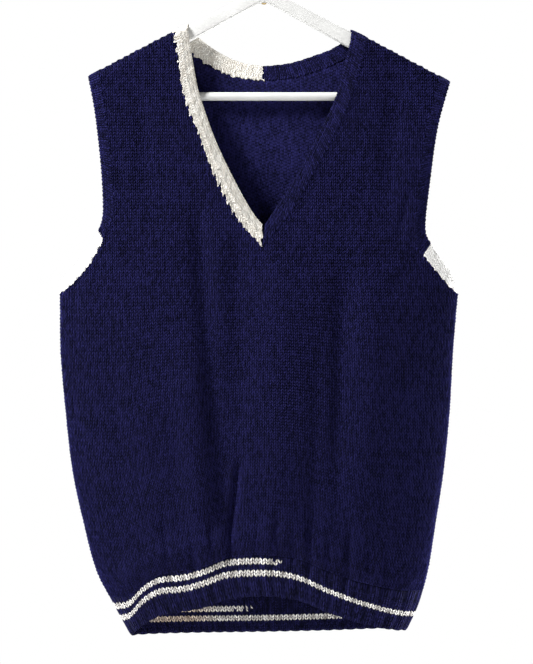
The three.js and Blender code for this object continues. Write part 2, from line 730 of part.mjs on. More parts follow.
// The wire hook: most of a loop, a bend back to the middle, and a straight shank with a head.
function hangerHook() {
  const loopZ = WIRE_RADIUS - LOOP_RADIUS;
  const bendZ = loopZ - LOOP_RADIUS - WIRE_RADIUS;
  const at = (x, z) => new THREE.Vector3(x, 0, z);
  const route = [];
  for (let a = LOOP_TIP_ANGLE; a > LOOP_END_ANGLE; a -= 20)
    route.push(at(LOOP_RADIUS * cos(degToRad(a)), loopZ + LOOP_RADIUS * sin(degToRad(a))));
  route.push(at(LOOP_RADIUS / 3, bendZ), at(LOOP_RADIUS / 20, (bendZ + SHANK_TOP_Z) / 2));
  const shankEndZ = BOW_UNDER_Z - SHANK_HEAD_HEIGHT;
  for (const share of [0, 0.33, 0.67, 1]) route.push(at(0, lerp(SHANK_TOP_Z, shankEndZ, share)));
  const section = new THREE.Shape().absarc(0, 0, WIRE_RADIUS, 0, 2 * PI);
  const wire = new THREE.ExtrudeGeometry(section, {
    steps: HOOK_STEPS,
    curveSegments: HOOK_SIDES / 2,
    extrudePath: new THREE.CatmullRomCurve3(route),
    bevelEnabled: false,
  });
  const rimRadius = SHANK_HEAD_RADIUS * 0.75;
  const head = new THREE.CylinderGeometry(SHANK_HEAD_RADIUS, rimRadius, SHANK_HEAD_HEIGHT, 12);
  head.rotateX(PI / 2).translate(0, 0, BOW_UNDER_Z - SEAM_GAP - SHANK_HEAD_HEIGHT / 2);
  return fromManifold(toManifold(wire).add(toManifold(head)));
}

const finish = (color, roughness, metalness = 0) =>
  new THREE.MeshStandardMaterial({ color, roughness, metalness });
const navyWool = finish(NAVY, 0.95);
const creamWool = finish(CREAM, 0.95);
const paintedWood = finish(WHITE, 0.4);
const brassWire = finish(BRASS, 0.35, 1);

const vest = new THREE.Group();
function add(name, geometry, material) {
  const mesh = new THREE.Mesh(geometry, material);
  mesh.name = name;
  vest.add(mesh);
}

const [left, right] = SIDES;
add("front_panel", panel(true), navyWool);
add("back_panel", panel(false), navyWool);
add("front_hem_rib", hemRib(true), navyWool);
add("back_hem_rib", hemRib(false), navyWool);
add("neckband_cream", neckband(left), creamWool);
add("neckband_navy", neckband(right), navyWool);
// Named for the wearer, whose right arm is on the viewer's left
add("armhole_band_right_navy", armholeBand(left, true), navyWool);
add("armhole_band_right_cream", armholeBand(left, false), creamWool);
add("armhole_band_left_navy", armholeBand(right, true), navyWool);
add("armhole_band_left_cream", armholeBand(right, false), creamWool);
add("hanger_bow", hangerBow(), paintedWood);
add("hanger_bar", hangerBar(), paintedWood);
add("hanger_hook", hangerHook(), brassWire);

export default vest;
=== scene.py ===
"""Looks of a hand-knitted V-neck sweater vest that hangs on a white coat hanger.

The cloth pieces repeat the solids' form and are knitted in real relief, stitch by stitch. Lengths are
in millimetres up to the point where a mesh is made. The front faces -Y, and "left" and "right" in the
names of values are as someone sees them who looks at the front.
"""

import math

import bmesh
import bpy
import numpy as np
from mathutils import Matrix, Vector


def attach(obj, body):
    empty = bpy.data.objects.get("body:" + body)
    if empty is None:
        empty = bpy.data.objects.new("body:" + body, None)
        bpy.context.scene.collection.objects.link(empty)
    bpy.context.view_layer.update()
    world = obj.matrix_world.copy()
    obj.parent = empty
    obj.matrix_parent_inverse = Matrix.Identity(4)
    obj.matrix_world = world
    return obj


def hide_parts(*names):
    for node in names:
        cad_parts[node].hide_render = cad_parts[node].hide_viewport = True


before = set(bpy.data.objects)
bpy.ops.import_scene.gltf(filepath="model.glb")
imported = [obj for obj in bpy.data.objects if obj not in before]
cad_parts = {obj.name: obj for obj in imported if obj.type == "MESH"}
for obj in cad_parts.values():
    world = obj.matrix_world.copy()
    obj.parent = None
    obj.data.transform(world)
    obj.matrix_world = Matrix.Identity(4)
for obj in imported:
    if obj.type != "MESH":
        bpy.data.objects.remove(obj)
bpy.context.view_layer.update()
MM = 0.001
RANDOM_SEED = 11

# The form, as in the solids
SEAM_GAP = 0.3
HEM_GAP = 0.6
SHOULDER_APEX_Z = -66
SHOULDER_SLOPE = 0.525
SHOULDER_ROUND = 10
UNDERARM_Z = -431
UNDERARM_MOUTH_Z = -418.5
V_TIP = (-2, -376)
V_MOUTH = (0, -353)
RIB_HEIGHT = 47

# Level, left and right edge, depth in front and behind, and squareness of the section
BODY = np.array([
    (-60, -264, 264, 10.2, 10.2, 8),
    (-190, -264, 264, 10.6, 10.4, 8),
    (-250, -260, 256, 13, 12, 6.5),
    (-310, -252, 246, 17, 14.5, 5),
    (-370, -245, 236, 22, 17, 4),
    (-431, -241, 229, 27, 20, 3.3),
    (-500, -240, 223, 31, 22, 3),
    (-570, -234, 219, 34, 24, 3),
    (-640, -226, 212, 36, 25, 3),
    (-705, -212, 202, 37, 26, 3),
    (-760, -197, 193, 35, 26, 2.9),
    (-800, -176, 181, 32, 25, 2.8),
    (-840, -154, 162, 30, 24, 2.8),
])
FRONT_HEM = [
    (-200, -836), (-160, -835), (-142, -821), (-122, -809), (-98, -804), (-68, -798), (-44, -789),
    (-12, -785), (18, -786), (44, -791), (72, -803), (106, -815), (140, -824), (164, -828), (200, -829),
]
BACK_HEM = [(-200, -836), (-100, -835), (0, -834), (80, -832), (164, -828), (200, -829)]

# Cut edges, as x and z: where a band is picked up, and where it ends at the opening
CUTS = {
    "left": {
        "arm_pick": [(-199, -150), (-189, -204), (-183, -246), (-179, -290), (-176.5, -328), (-178, -345),
            (-184, -358), (-191, -373), (-199, -388), (-208, -402), (-220, -415), (-231, -425)],
        "arm_mouth": [(-213, -150), (-201.5, -204), (-195.5, -246), (-191, -290), (-189, -328),
            (-190, -345), (-194.5, -358), (-203, -373), (-213.5, -388), (-225, -402), (-234, -411)],
        "neck_pick": [(-110, -100), (-102, -143), (-99, -168), (-95.5, -189), (-88, -214), (-78.5, -238),
            (-69, -264), (-61, -285), (-47, -314), (-34, -339), (-19, -358), V_TIP],
        "neck_mouth": [(-93, -95), (-87, -138), (-82.5, -165), (-77.5, -191), (-70.5, -214), (-60, -244),
            (-47, -274), (-33.5, -301), (-20, -326), (-9, -343), V_MOUTH],
        "back_pick": [(-110, -100), (-103, -129), (-84, -147), (-60, -163), (-34, -174), (0, -179)],
        "back_mouth": [(-94, -95), (-88, -116), (-72, -133), (-50, -148), (-27, -158), (0, -162.5)],
    },
    "right": {
        "arm_pick": [(213, -150), (200, -204), (193, -232), (188, -260), (184, -290), (181, -320),
            (178.5, -345), (177.5, -362), (180, -375), (188.5, -388), (199.5, -402), (211, -415),
            (220, -425)],
        "arm_mouth": [(229, -150), (213, -204), (205.5, -232), (200.5, -260), (196.5, -290), (192.6, -320),
            (189.8, -345), (190.2, -362), (197, -375), (206, -388), (216.5, -402), (223, -411)],
        "neck_pick": [(124, -100), (117, -150), (108.5, -180), (101, -204), (93.5, -222), (83, -244),
            (67.5, -273), (56.5, -293), (44, -315), (29, -339), (14.5, -358), V_TIP],
        "neck_mouth": [(108, -95), (99.5, -145), (93.5, -168), (86.5, -194), (80.5, -210), (71, -230),
            (55, -262), (44, -283), (31.5, -305), (17.5, -326), (6.5, -343), V_MOUTH],
        "back_pick": [(124, -100), (117, -137), (92, -155), (64, -167), (34, -175.5), (0, -179)],
        "back_mouth": [(109, -95), (101, -124), (84, -140), (58, -150.5), (30, -159), (0, -162.5)],
    },
}
NAVY_ENDS_Z = {"left": -368, "right": -386}

# Soft folds: start x and z, end x and z, half width, and depth in. The rows that end in a length, which
# is that of the fade at the fold's ends, are in the looks alone. The others fade over FOLD_END.
FOLD_END = 45
FRONT_FOLDS = [
    (-30, -372, -35, -735, 20, 5.5), (-88, -500, -76, -735, 22, -4), (26, -420, 16, -735, 26, -3),
    (96, -400, 84, -640, 17, 3.2), (128, -430, 116, -735, 20, -2.6), (-184, -470, -158, -700, 16, 3),
    (168, -520, 158, -740, 14, 2.4), (-150, -190, -135, -330, 14, 1.8), (154, -186, 146, -332, 14, 2.6),
    (-77, -345, -47, -695, 13, 6, 60), (-30, -632, -43, -742, 4, 7.5, 16),
    (-18, -650, -26, -735, 7, -2, 18), (-118, -690, -110, -764, 5, 3.2, 20),
    (-84, -716, -81, -762, 4, 2.6, 14), (-62, -704, -58, -750, 4.5, 3, 15),
    (-8, -704, -9, -744, 4, 2.2, 12), (16, -690, 11, -748, 4.5, 3.6, 18),
    (34, -712, 32, -752, 3.5, 2.6, 12), (54, -702, 51, -760, 4, 3.6, 16),
    (76, -722, 73, -770, 3.5, 2.8, 12), (100, -712, 94, -774, 4.5, 3.8, 18),
    (122, -734, 118, -782, 4, 2.8, 12), (144, -722, 137, -786, 5, 3.2, 18),
    (-228, -420, -217, -520, 7, 5, 22), (172, -312, 156, -368, 5, 1.8, 14),
    (182, -386, 142, -440, 11, 1.8, 30), (-2, -384, -10, -450, 9, 2, 20), (92, -420, 86, -660, 11, 2.4, 60),
    (64, -500, 56, -735, 9, 2.2, 50), (140, -560, 133, -720, 9, 2, 40), (-106, -560, -96, -720, 10, 2, 50),
]
BACK_FOLDS = [
    (-62, -330, -70, -740, 20, 4), (10, -300, 4, -735, 24, -3), (78, -360, 70, -735, 18, 3.6),
    (-140, -430, -128, -720, 18, -2.4), (148, -450, 138, -730, 16, 2.8),
    (-100, -700, -95, -765, 6, 1.6, 20), (-36, -712, -34, -770, 5, 1.4, 18),
    (34, -690, 32, -765, 6, 1.7, 22), (104, -715, 98, -770, 5, 1.3, 18), (-206, -440, -196, -520, 8, 2, 24),
    (196, -452, 186, -530, 8, 1.8, 24),
]
# The cloth blouses over the ribbing, 1 mm further than in the solids, and is gathered into it
BLOUSE_RISE = 5
BLOUSE_ABOVE = 22
BLOUSE_REACH = 17
GATHER_RISE = 1.3
RIB_PITCH = 14.6
GATHER_PITCH = 4 * RIB_PITCH
GATHER_START = 6
GATHER_HEIGHT = 46
BLOUSE_START = 5


class Column:
    """Smooth cubic through a table, level beyond its ends."""

    def __init__(self, keys, values):
        order = np.argsort(keys)
        self.keys = np.asarray(keys, float)[order]
        self.values = np.asarray(values, float)[order]
        index = np.arange(len(order))
        low = np.maximum(index - 1, 0)
        high = np.minimum(index + 1, len(order) - 1)
        self.slopes = (self.values[high] - self.values[low]) / (self.keys[high] - self.keys[low])

    def __call__(self, at):
        at = np.clip(at, self.keys[0], self.keys[-1])
        i = np.clip(np.searchsorted(self.keys, at) - 1, 0, len(self.keys) - 2)
        span = self.keys[i + 1] - self.keys[i]
        t = (at - self.keys[i]) / span
        t2 = t * t
        t3 = t2 * t
        return (
            (2 * t3 - 3 * t2 + 1) * self.values[i]
            + (t3 - 2 * t2 + t) * span * self.slopes[i]
            + (3 * t2 - 2 * t3) * self.values[i + 1]
            + (t3 - t2) * span * self.slopes[i + 1]
        )


side_left, side_right, front_depth, back_depth, squareness = (
    Column(BODY[:, 0], BODY[:, i]) for i in range(1, 6)
)
front_hem = Column(*zip(*FRONT_HEM))
back_hem = Column(*zip(*BACK_HEM))


def smoothstep(at, low, high):
    t = np.clip((at - low) / (high - low), 0, 1)
    return t * t * (3 - 2 * t)


def hem_line(front, x):
    return front_hem(x) if front else back_hem(x)


def shoulder_top(x):
    return SHOULDER_APEX_Z - SHOULDER_SLOPE * np.abs(x)


def x_at(angle, z):
    left, right = side_left(z), side_right(z)
    return (left + right) / 2 + (right - left) / 2 * np.sin(angle)


def angle_at(x, z):
    left, right = side_left(z), side_right(z)
    return np.arcsin(np.clip((x - (left + right) / 2) / ((right - left) / 2), -1, 1))


def fold_depth(front, x, z):
    total = np.zeros(np.shape(x))
    for x0, z0, x1, z1, wide, deep, *end in FRONT_FOLDS if front else BACK_FOLDS:
        fade = end[0] if end else FOLD_END
        middle = x0 + (x1 - x0) * np.clip((z - z0) / (z1 - z0), 0, 1)
        along = smoothstep(z0 - z, -fade, fade) * smoothstep(z - z1, -fade, fade)
        total += deep * np.exp(-(((x - middle) / wide) ** 2)) * along
    return total


def blouse_rise(front, x, z):
    above = z - (hem_line(front, x) + RIB_HEIGHT)
    puff = BLOUSE_RISE * np.exp(-(((above - BLOUSE_ABOVE) / BLOUSE_REACH) ** 2))
    fading = 1 - smoothstep(above, GATHER_START, GATHER_HEIGHT)
    gather = GATHER_RISE * fading * np.cos(2 * math.pi * x / GATHER_PITCH)
    return smoothstep(above, 0, BLOUSE_START) * (puff + gather)


def section_reach(angle, z):
    reach = np.sqrt(np.maximum(0, 1 - np.abs(np.sin(angle)) ** squareness(z)))
    return np.where(np.cos(angle) < 0, -reach, reach)


def form(front, angle, z):
    """Points of the cloth's outer face."""
    x = x_at(angle, z)
    reach = section_reach(angle, z)
    below = np.clip(shoulder_top(x) - z, 0, SHOULDER_ROUND)
    over = np.sqrt(1 - ((SHOULDER_ROUND - below) / SHOULDER_ROUND) ** 2)
    shaped = blouse_rise(front, x, z) - fold_depth(front, x, z)
    depth = front_depth(z) if front else back_depth(z)
    y = (depth + shaped * np.abs(reach)) * reach * over
    return np.stack([x, -y if front else y, z + 0 * x], axis=-1)


def unit(vectors):
    return vectors / np.maximum(np.linalg.norm(vectors, axis=-1, keepdims=True), 1e-12)


def form_normal(front, angle, z):
    point = form(front, angle, z)
    turn, rise = 0.01, 0.5
    across = form(front, angle + turn, z) - form(front, angle - turn, z)
    upward = form(front, angle, z + rise) - form(front, angle, z - rise)
    normal = unit(np.cross(across, upward))
    if not front:
        normal = -normal
    x, y = point[..., 0], point[..., 1]
    below = np.maximum(shoulder_top(x) - z, 0)
    up = (SHOULDER_ROUND - below) / SHOULDER_ROUND**2
    deep = (front_depth(z) if front else back_depth(z)) * section_reach(angle, z)
    on_fold = unit(np.stack([np.sign(x) * SHOULDER_SLOPE * up, y / deep**2, up], axis=-1))
    return np.where((below < SHOULDER_ROUND)[..., None], on_fold, normal)


def cloth(front, x, z):
    """Outer points and outward directions at places across a panel."""
    angle = angle_at(x, z)
    return form(front, angle, z), form_normal(front, angle, z)


# Cut edges
EDGE_SAMPLES = 30


def curve_through(p, samples):
    """Catmull-Rom curve from the second of some points to the last but one."""
    t = np.arange(samples)[:, None] / samples
    parts = []
    for a, b, c, d in zip(p, p[1:], p[2:], p[3:]):
        v0, v1 = (c - a) / 2, (d - b) / 2
        parts.append((2 * b - 2 * c + v0 + v1) * t**3 + (3 * c - 3 * b - 2 * v0 - v1) * t**2 + v0 * t + b)
    return np.vstack([*parts, p[-2:-1]])


def smooth_edge(rows):
    """The curve through a table of x and z."""
    p = np.array(rows, float)
    return curve_through(np.vstack([p[0], p, p[-1]]), EDGE_SAMPLES)


def up_to_shoulder(rows):
    """The edge from its low end up to the shoulder line."""
    edge = smooth_edge(rows)
    if edge[0, 1] > edge[-1, 1]:
        edge = edge[::-1]
    below = edge[:, 1] < shoulder_top(edge[:, 0])
    last = np.argmin(below) if not below.all() else len(edge) - 1
    a, b = edge[last - 1], edge[last]
    ga, gb = a[1] - shoulder_top(a[0]), b[1] - shoulder_top(b[0])
    top = a + (b - a) * ga / (ga - gb)
    return np.vstack([edge[:last], top])


def running_length(points):
    """The length along a row of points from the first to each."""
    steps = np.linalg.norm(np.diff(points, axis=-2), axis=-1)
    return np.concatenate([0 * steps[..., :1], np.cumsum(steps, axis=-1)], axis=-1)


class Path:
    """A stretch up the front and one down the back, with lengths along the cloth."""

    def __init__(self, front_edge, back_edge):
        self.stretches = []
        for front, edge in ((True, front_edge), (False, back_edge[::-1])):
            points = cloth(front, edge[:, 0], edge[:, 1])[0]
            self.stretches.append((edge, running_length(points)))
        self.front_length = self.stretches[0][1][-1]
        self.back_length = self.stretches[1][1][-1]
        self.length = self.front_length + self.back_length

    def at_share(self, stage, share):
        edge, lengths = self.stretches[stage]
        at = np.clip(share, 0, 1) * lengths[-1]
        return np.interp(at, lengths, edge[:, 0]), np.interp(at, lengths, edge[:, 1])

    def front_length_to(self, level):
        edge, lengths = self.stretches[0]
        return np.interp(level, edge[:, 1], lengths)


EDGES = {"left": {}, "right": {}}
for side_name, side_x in (("left", side_left), ("right", side_right)):
    ends = {"arm_pick": UNDERARM_Z, "arm_mouth": UNDERARM_MOUTH_Z}
    for cut, rows in CUTS[side_name].items():
        underarm = [(float(side_x(ends[cut])), ends[cut])] if cut in ends else []
        EDGES[side_name][cut] = up_to_shoulder([*rows, *underarm])


# Meshes
def placed(name, data, place=(0, 0, 0)):
    """A new object in the scene."""
    obj = bpy.data.objects.new(name, data)
    obj.location = place
    bpy.context.scene.collection.objects.link(obj)
    return obj


def make_object(name, points, faces, materials, uv=None, face_material=None):
    """faces lists each face's points, and uv has one row for each face corner."""
    mesh = bpy.data.meshes.new(name)
    mesh.from_pydata((np.asarray(points) * MM).tolist(), [], [list(f) for f in faces])
    if uv is not None:
        layer = mesh.uv_layers.new(name="Knit")
        layer.data.foreach_set("uv", np.asarray(uv, np.float32).ravel())
    for material in materials:
        mesh.materials.append(material)
    if face_material is not None:
        mesh.polygons.foreach_set("material_index", np.asarray(face_material, np.int32))
    mesh.polygons.foreach_set("use_smooth", [True] * len(mesh.polygons))
    mesh.update()
    return placed(name, mesh)


def noise(shape, amount, salt):
    return np.random.default_rng(RANDOM_SEED + salt).uniform(-amount, amount, shape)


# Panels: each stitch is two slanted legs, each leg a four-sided cell around a raised middle.
HALF_WALES = 56
BODY_COURSES = 88
COURSE = 3.78
TOP_COURSE = 173
BETWEEN_WALES = -0.9
BETWEEN_LEGS = -0.6
CREST = 0.6
TUCKED = -0.8
HEM_TUCKED = -0.2
INNER = -2.3
ANGLE_SAMPLES = 721
LEVEL_ROUNDS = 8
HEM_CLEARANCE = HEM_GAP * 0.3
SHOULDER_MARGIN = 0.4
SHOULDER_SAMPLES = 120
SEAM_Y = SEAM_GAP / 6
ON_LINE = 0.01
PLACE_JITTER = 0.26
VALLEY_JITTER = 0.12
CREST_JITTER = 0.16
COURSE_JITTER = 0.13


def panel_grid(front):
    """Places of the knitting's quarter wales and half courses, as x and z."""
    rows = np.arange(2 * TOP_COURSE + 4) / 2
    angle = np.linspace(-math.pi / 2, math.pi / 2, ANGLE_SAMPLES)[None, :] + 0 * rows[:, None]
    above = UNDERARM_Z + (rows - BODY_COURSES) * COURSE
    z = np.where(rows > BODY_COURSES, above, UNDERARM_Z)[:, None] + 0 * angle
    body = rows <= BODY_COURSES
    share = rows[body, None] / BODY_COURSES
    for _ in range(LEVEL_ROUNDS):
        low = hem_line(front, x_at(angle[body], z[body])) + RIB_HEIGHT + HEM_CLEARANCE
        z[body] = low + (UNDERARM_Z - low) * share
    along = running_length(form(front, angle, z))
    middle = ANGLE_SAMPLES // 2
    centred = along - along[:, middle : middle + 1]
    last_body = np.flatnonzero(body)[-1]
    row = np.where(body, np.arange(len(rows)), last_body)
    pitch_left = -centred[row, 0] / HALF_WALES
    pitch_right = centred[row, -1] / HALF_WALES
    wales = np.arange(-4 * HALF_WALES, 4 * HALF_WALES + 1) / 4
    xs, zs = [], []
    for r in range(len(rows)):
        at = np.where(wales < 0, wales * pitch_left[r], wales * pitch_right[r])
        found = np.interp(at, centred[r], angle[r])
        zs.append(np.interp(at, centred[r], z[r]))
        xs.append(x_at(found, zs[-1]))
    return np.array(xs), np.array(zs)


def edge_x(edge, z):
    return np.interp(z, edge[:, 1], edge[:, 0])


def inside_panel(front, x, z):
    """Whether places lie between a panel's cut edges."""
    left, right = EDGES["left"], EDGES["right"]
    neck = "neck_pick" if front else "back_pick"
    tip = left[neck][0, 1]
    on_body = z < UNDERARM_Z
    past_left = x < edge_x(left["arm_pick"], z)
    past_right = x > edge_x(right["arm_pick"], z)
    in_neck = (z > tip) & (x > edge_x(left[neck], z)) & (x < edge_x(right[neck], z))
    below_shoulder = z < shoulder_top(x) - SHOULDER_MARGIN
    return (on_body | ~(past_left | past_right)) & ~in_neck & below_shoulder


def outline_points(front):
    """Points along a panel's cut edges."""
    neck = "neck_pick" if front else "back_pick"
    parts = []
    for side in EDGES.values():
        arm, edge = side["arm_pick"], side[neck]
        x = np.linspace(arm[-1, 0], edge[-1, 0], SHOULDER_SAMPLES)
        parts += [arm, edge, np.c_[x, shoulder_top(x)]]
    return np.vstack(parts)


def knit_panel(name, front, materials):
    x, z = panel_grid(front)
    row_count, column_count = x.shape
    wale, course = np.meshgrid(np.arange(2 * HALF_WALES), np.arange(TOP_COURSE), indexing="ij")
    wale, course = wale.ravel(), course.ravel()
    first = course == 0
    e_low, e_high = np.where(first, 0, 2 * course + 1), 2 * course + 3
    c_low, c_high = np.where(first, 0, 2 * course - 1), 2 * course + 1
    at = lambda r, c: r * column_count + c
    cells, crests = [], []
    for half in (0, 1):
        edge = 4 * wale + 4 * half
        centre = 4 * wale + 2
        leg = 4 * wale + 1 + 2 * half
        inner_side = (at(c_low, centre), at(c_high, centre))
        outer_side = (at(e_low, edge), at(e_high, edge))
        near, far = (inner_side, outer_side) if half == 0 else (outer_side, inner_side)
        cells.append(np.c_[near[0], near[1], far[1], far[0]])
        crests.append(at(2 * course + 1, leg))
    cells, crests = np.vstack(cells), np.concatenate(crests)
    flat = np.stack([x.ravel(), z.ravel()])
    count = flat.shape[1]
    keep = inside_panel(front, *flat[:, crests])
    cells, crests = cells[keep], crests[keep]

    # Edges of one cell only are the panel's rim
    pairs = np.stack([cells, np.roll(cells, -1, axis=1)], axis=2).reshape(-1, 2)
    key = np.sort(pairs, axis=1) @ np.array([count, 1])
    _, back_index, counts = np.unique(key, return_inverse=True, return_counts=True)
    rim = pairs[counts[back_index] == 1]

    # Rim points move onto the cut edge
    rim_points = np.unique(rim)
    rim_row, rim_column = rim_points // column_count, rim_points % column_count
    on_seam = ((rim_column == 0) | (rim_column == column_count - 1)) & (rim_row <= 2 * BODY_COURSES)
    free = rim_points[~on_seam & (rim_row > 0)]
    outline = outline_points(front).T
    gaps = ((flat[:, free, None] - outline[:, None, :]) ** 2).sum(axis=0)
    flat[:, free] = outline[:, np.argmin(gaps, axis=1)]
    jitter = noise(flat.shape, PLACE_JITTER, 1 if front else 2)
    jitter[:, rim_points] = 0
    flat += jitter
    x, z = flat

    points, normals = cloth(front, x, z)
    on_edge = np.arange(count) % column_count % 4 == 0
    relief = np.where(on_edge, BETWEEN_WALES, BETWEEN_LEGS) + noise(count, VALLEY_JITTER, 3)
    course_rise = noise(row_count, COURSE_JITTER, 5)
    relief[crests] = CREST + noise(len(crests), CREST_JITTER, 4) + course_rise[crests // column_count]
    above_hem = z[free] - hem_line(front, x[free]) - RIB_HEIGHT
    relief[free] = np.where(above_hem < COURSE / 2, HEM_TUCKED, TUCKED)
    outer = points + normals * relief[:, None]
    inner = points + normals * INNER
    on_shoulder = np.abs(z - shoulder_top(x)) < ON_LINE
    for face in (outer, inner):
        face[rim_points[on_seam], 1] = face[on_shoulder, 1] = -SEAM_Y if front else SEAM_Y

    # Points of the inner face are numbered after those of the outer one
    a, b, c, d = cells.T
    outer_faces = np.vstack([np.c_[p, q, crests] for p, q in ((a, b), (b, c), (c, d), (d, a))])
    a, b, c, d = cells.T + count
    inner_faces = np.vstack([np.c_[a, d, b], np.c_[b, d, c]])
    p, q = rim.T
    rim_faces = np.vstack([np.c_[q, p, p + count], np.c_[q, p + count, q + count]])
    faces = np.vstack([outer_faces, inner_faces, rim_faces])
    if not front:
        faces = faces[:, ::-1]
    used, new_index = np.unique(faces, return_inverse=True)
    places = used % count
    uv_points = np.c_[places % column_count / 4 - HALF_WALES, places // column_count / 2]
    face_material = np.repeat([0, 1, 0], [len(outer_faces), len(inner_faces), len(rim_faces)])
    vertices = np.vstack([outer, inner])[used]
    new_index = new_index.reshape(faces.shape)
    return make_object(name, vertices, new_index, materials, uv_points[new_index.ravel()], face_material)


# Bands and ribbing: a fine grid with the stitches' relief worked out at each point.
WALES_PER_RIB = 3
COLUMNS_PER_WALE = 8
ROWS_PER_COURSE = 4
RIB_RISE = 0.8
INNER_RIB_RISE = 0.6
LEG_RISE = 0.75
LEG_SLANT = 0.8
PURL_RISE = 0.45
LEG_WAIST = 0.45
PURL_WAIST = 0.6
LEG_FULLNESS = 0.7
PURL_FULLNESS = 0.8
RIB_FULLNESS = 0.8
RIB_DRAW = 0.1
OUTER_SHIFT = -0.5
INNER_SHIFT = 0.3


def rib_share(u):
    """1 on a rib's two knit columns, 0 between ribs."""
    return (0.5 + 0.5 * np.cos(2 * math.pi * (u - 1) / WALES_PER_RIB)) ** RIB_FULLNESS


def stitch_relief(u, v):
    """Relief of knit columns and of purl columns at wale u and course v, from 0 to 1."""
    across = np.abs(2 * (u - np.floor(u)) - 1)
    slanted = v + LEG_SLANT * (0.5 - across)
    off_leg = np.abs(across - 0.5) * 2
    along = np.abs(np.sin(math.pi * slanted)) ** LEG_FULLNESS
    leg = np.sqrt(np.maximum(0, 1 - off_leg**2)) * (LEG_WAIST + (1 - LEG_WAIST) * along)
    bump_row = v + 0.5 * (np.floor(u) % 2)
    purl = np.abs(np.sin(math.pi * bump_row)) ** PURL_FULLNESS
    return leg, purl * (PURL_WAIST + (1 - PURL_WAIST) * np.cos(2 * math.pi * u))


def stitch_grid(wales, courses):
    """The wale and the course of each point of a piece's grid."""
    u = np.arange(wales * COLUMNS_PER_WALE + 1) / COLUMNS_PER_WALE
    v = np.arange(courses * ROWS_PER_COURSE + 1) / ROWS_PER_COURSE
    return np.meshgrid(u, v)


def spread_wales(u):
    """Where wale u lies along a rib: the purl columns draw in behind the knit ones."""
    whole = np.floor(u / WALES_PER_RIB)
    p = u / WALES_PER_RIB - whole
    return (whole + p + RIB_DRAW * np.sin(math.pi * p) ** 2) * WALES_PER_RIB


def ribbed_offsets(u, v, rise=RIB_RISE):
    """How far the outer and the inner face stand from the form. Low ribs are nearly plain knitting."""
    rib = 1 - (1 - rib_share(u)) * rise / RIB_RISE
    leg, purl = stitch_relief(u, v)
    outer = rise * rib + LEG_RISE * leg * rib + PURL_RISE * purl * (1 - rib) + OUTER_SHIFT
    inner_rise = INNER_RIB_RISE * rise / RIB_RISE
    inner = INNER - inner_rise * (1 - rib) - LEG_RISE * leg * (1 - rib) - PURL_RISE * purl * rib
    return outer, inner + INNER_SHIFT


def eased(offset, share, shrink, shift):
    """An offset made smaller and shifted, by how much of the way share says."""
    return offset * (1 - shrink * share) + shift * share


def grid_shell(name, outer, inner, u, v, material, flip=False):
    """A closed shell from two grids of points of one shape."""
    rows, columns = u.shape
    index = np.arange(rows * columns).reshape(rows, columns)
    a, b = index[:-1, :-1].ravel(), index[:-1, 1:].ravel()
    c, d = index[1:, 1:].ravel(), index[1:, :-1].ravel()
    offset = rows * columns
    loop = np.concatenate([index[0, :-1], index[:-1, -1], index[-1, :0:-1], index[:0:-1, 0]])
    after = np.roll(loop, -1)
    outer_faces = np.c_[a, b, c, d]
    inner_faces = np.c_[a, d, c, b] + offset
    rim_faces = np.c_[after, loop, loop + offset, after + offset]
    faces = np.vstack([outer_faces, inner_faces, rim_faces])
    if flip:
        faces = faces[:, ::-1]
    uv_points = np.tile(np.c_[u.ravel(), v.ravel()], (2, 1))
    vertices = np.vstack([outer.reshape(-1, 3), inner.reshape(-1, 3)])
    return make_object(name, vertices, faces, [material], uv_points[faces.ravel()])


BAND_WIDTH = 14.0
UNDER_PANEL = 0.05
TOOTH = 1.2
TOOTH_UNEVEN = 0.6
WALES_PER_STAIR = 2.6
STAIR_UNEVEN = 0.5
SCALLOP = 0.9
TUCK_REACH = 3
GROOVE_FADE = 0.35, 0.85
RIM_COURSES = 0.8
PICK_COURSES = 0.9
PICK_PIT = 1.6
ARM_BUMP = 1.0
NECK_BUMP = 0.3
# How much smaller the relief gets at an edge, and how far the face is shifted there
CAST_OFF_OUTER = 0.45, -0.5
CAST_OFF_INNER = 0.35, 0.1
PICKED_OUTER = 0.55, 0.25
PICKED_INNER = 0, -0.5
CAST_ON_OUTER = 0.5, -0.5
CAST_ON_INNER = 0.35, 0
HEM_TOP_BOTH = 0.5, 0


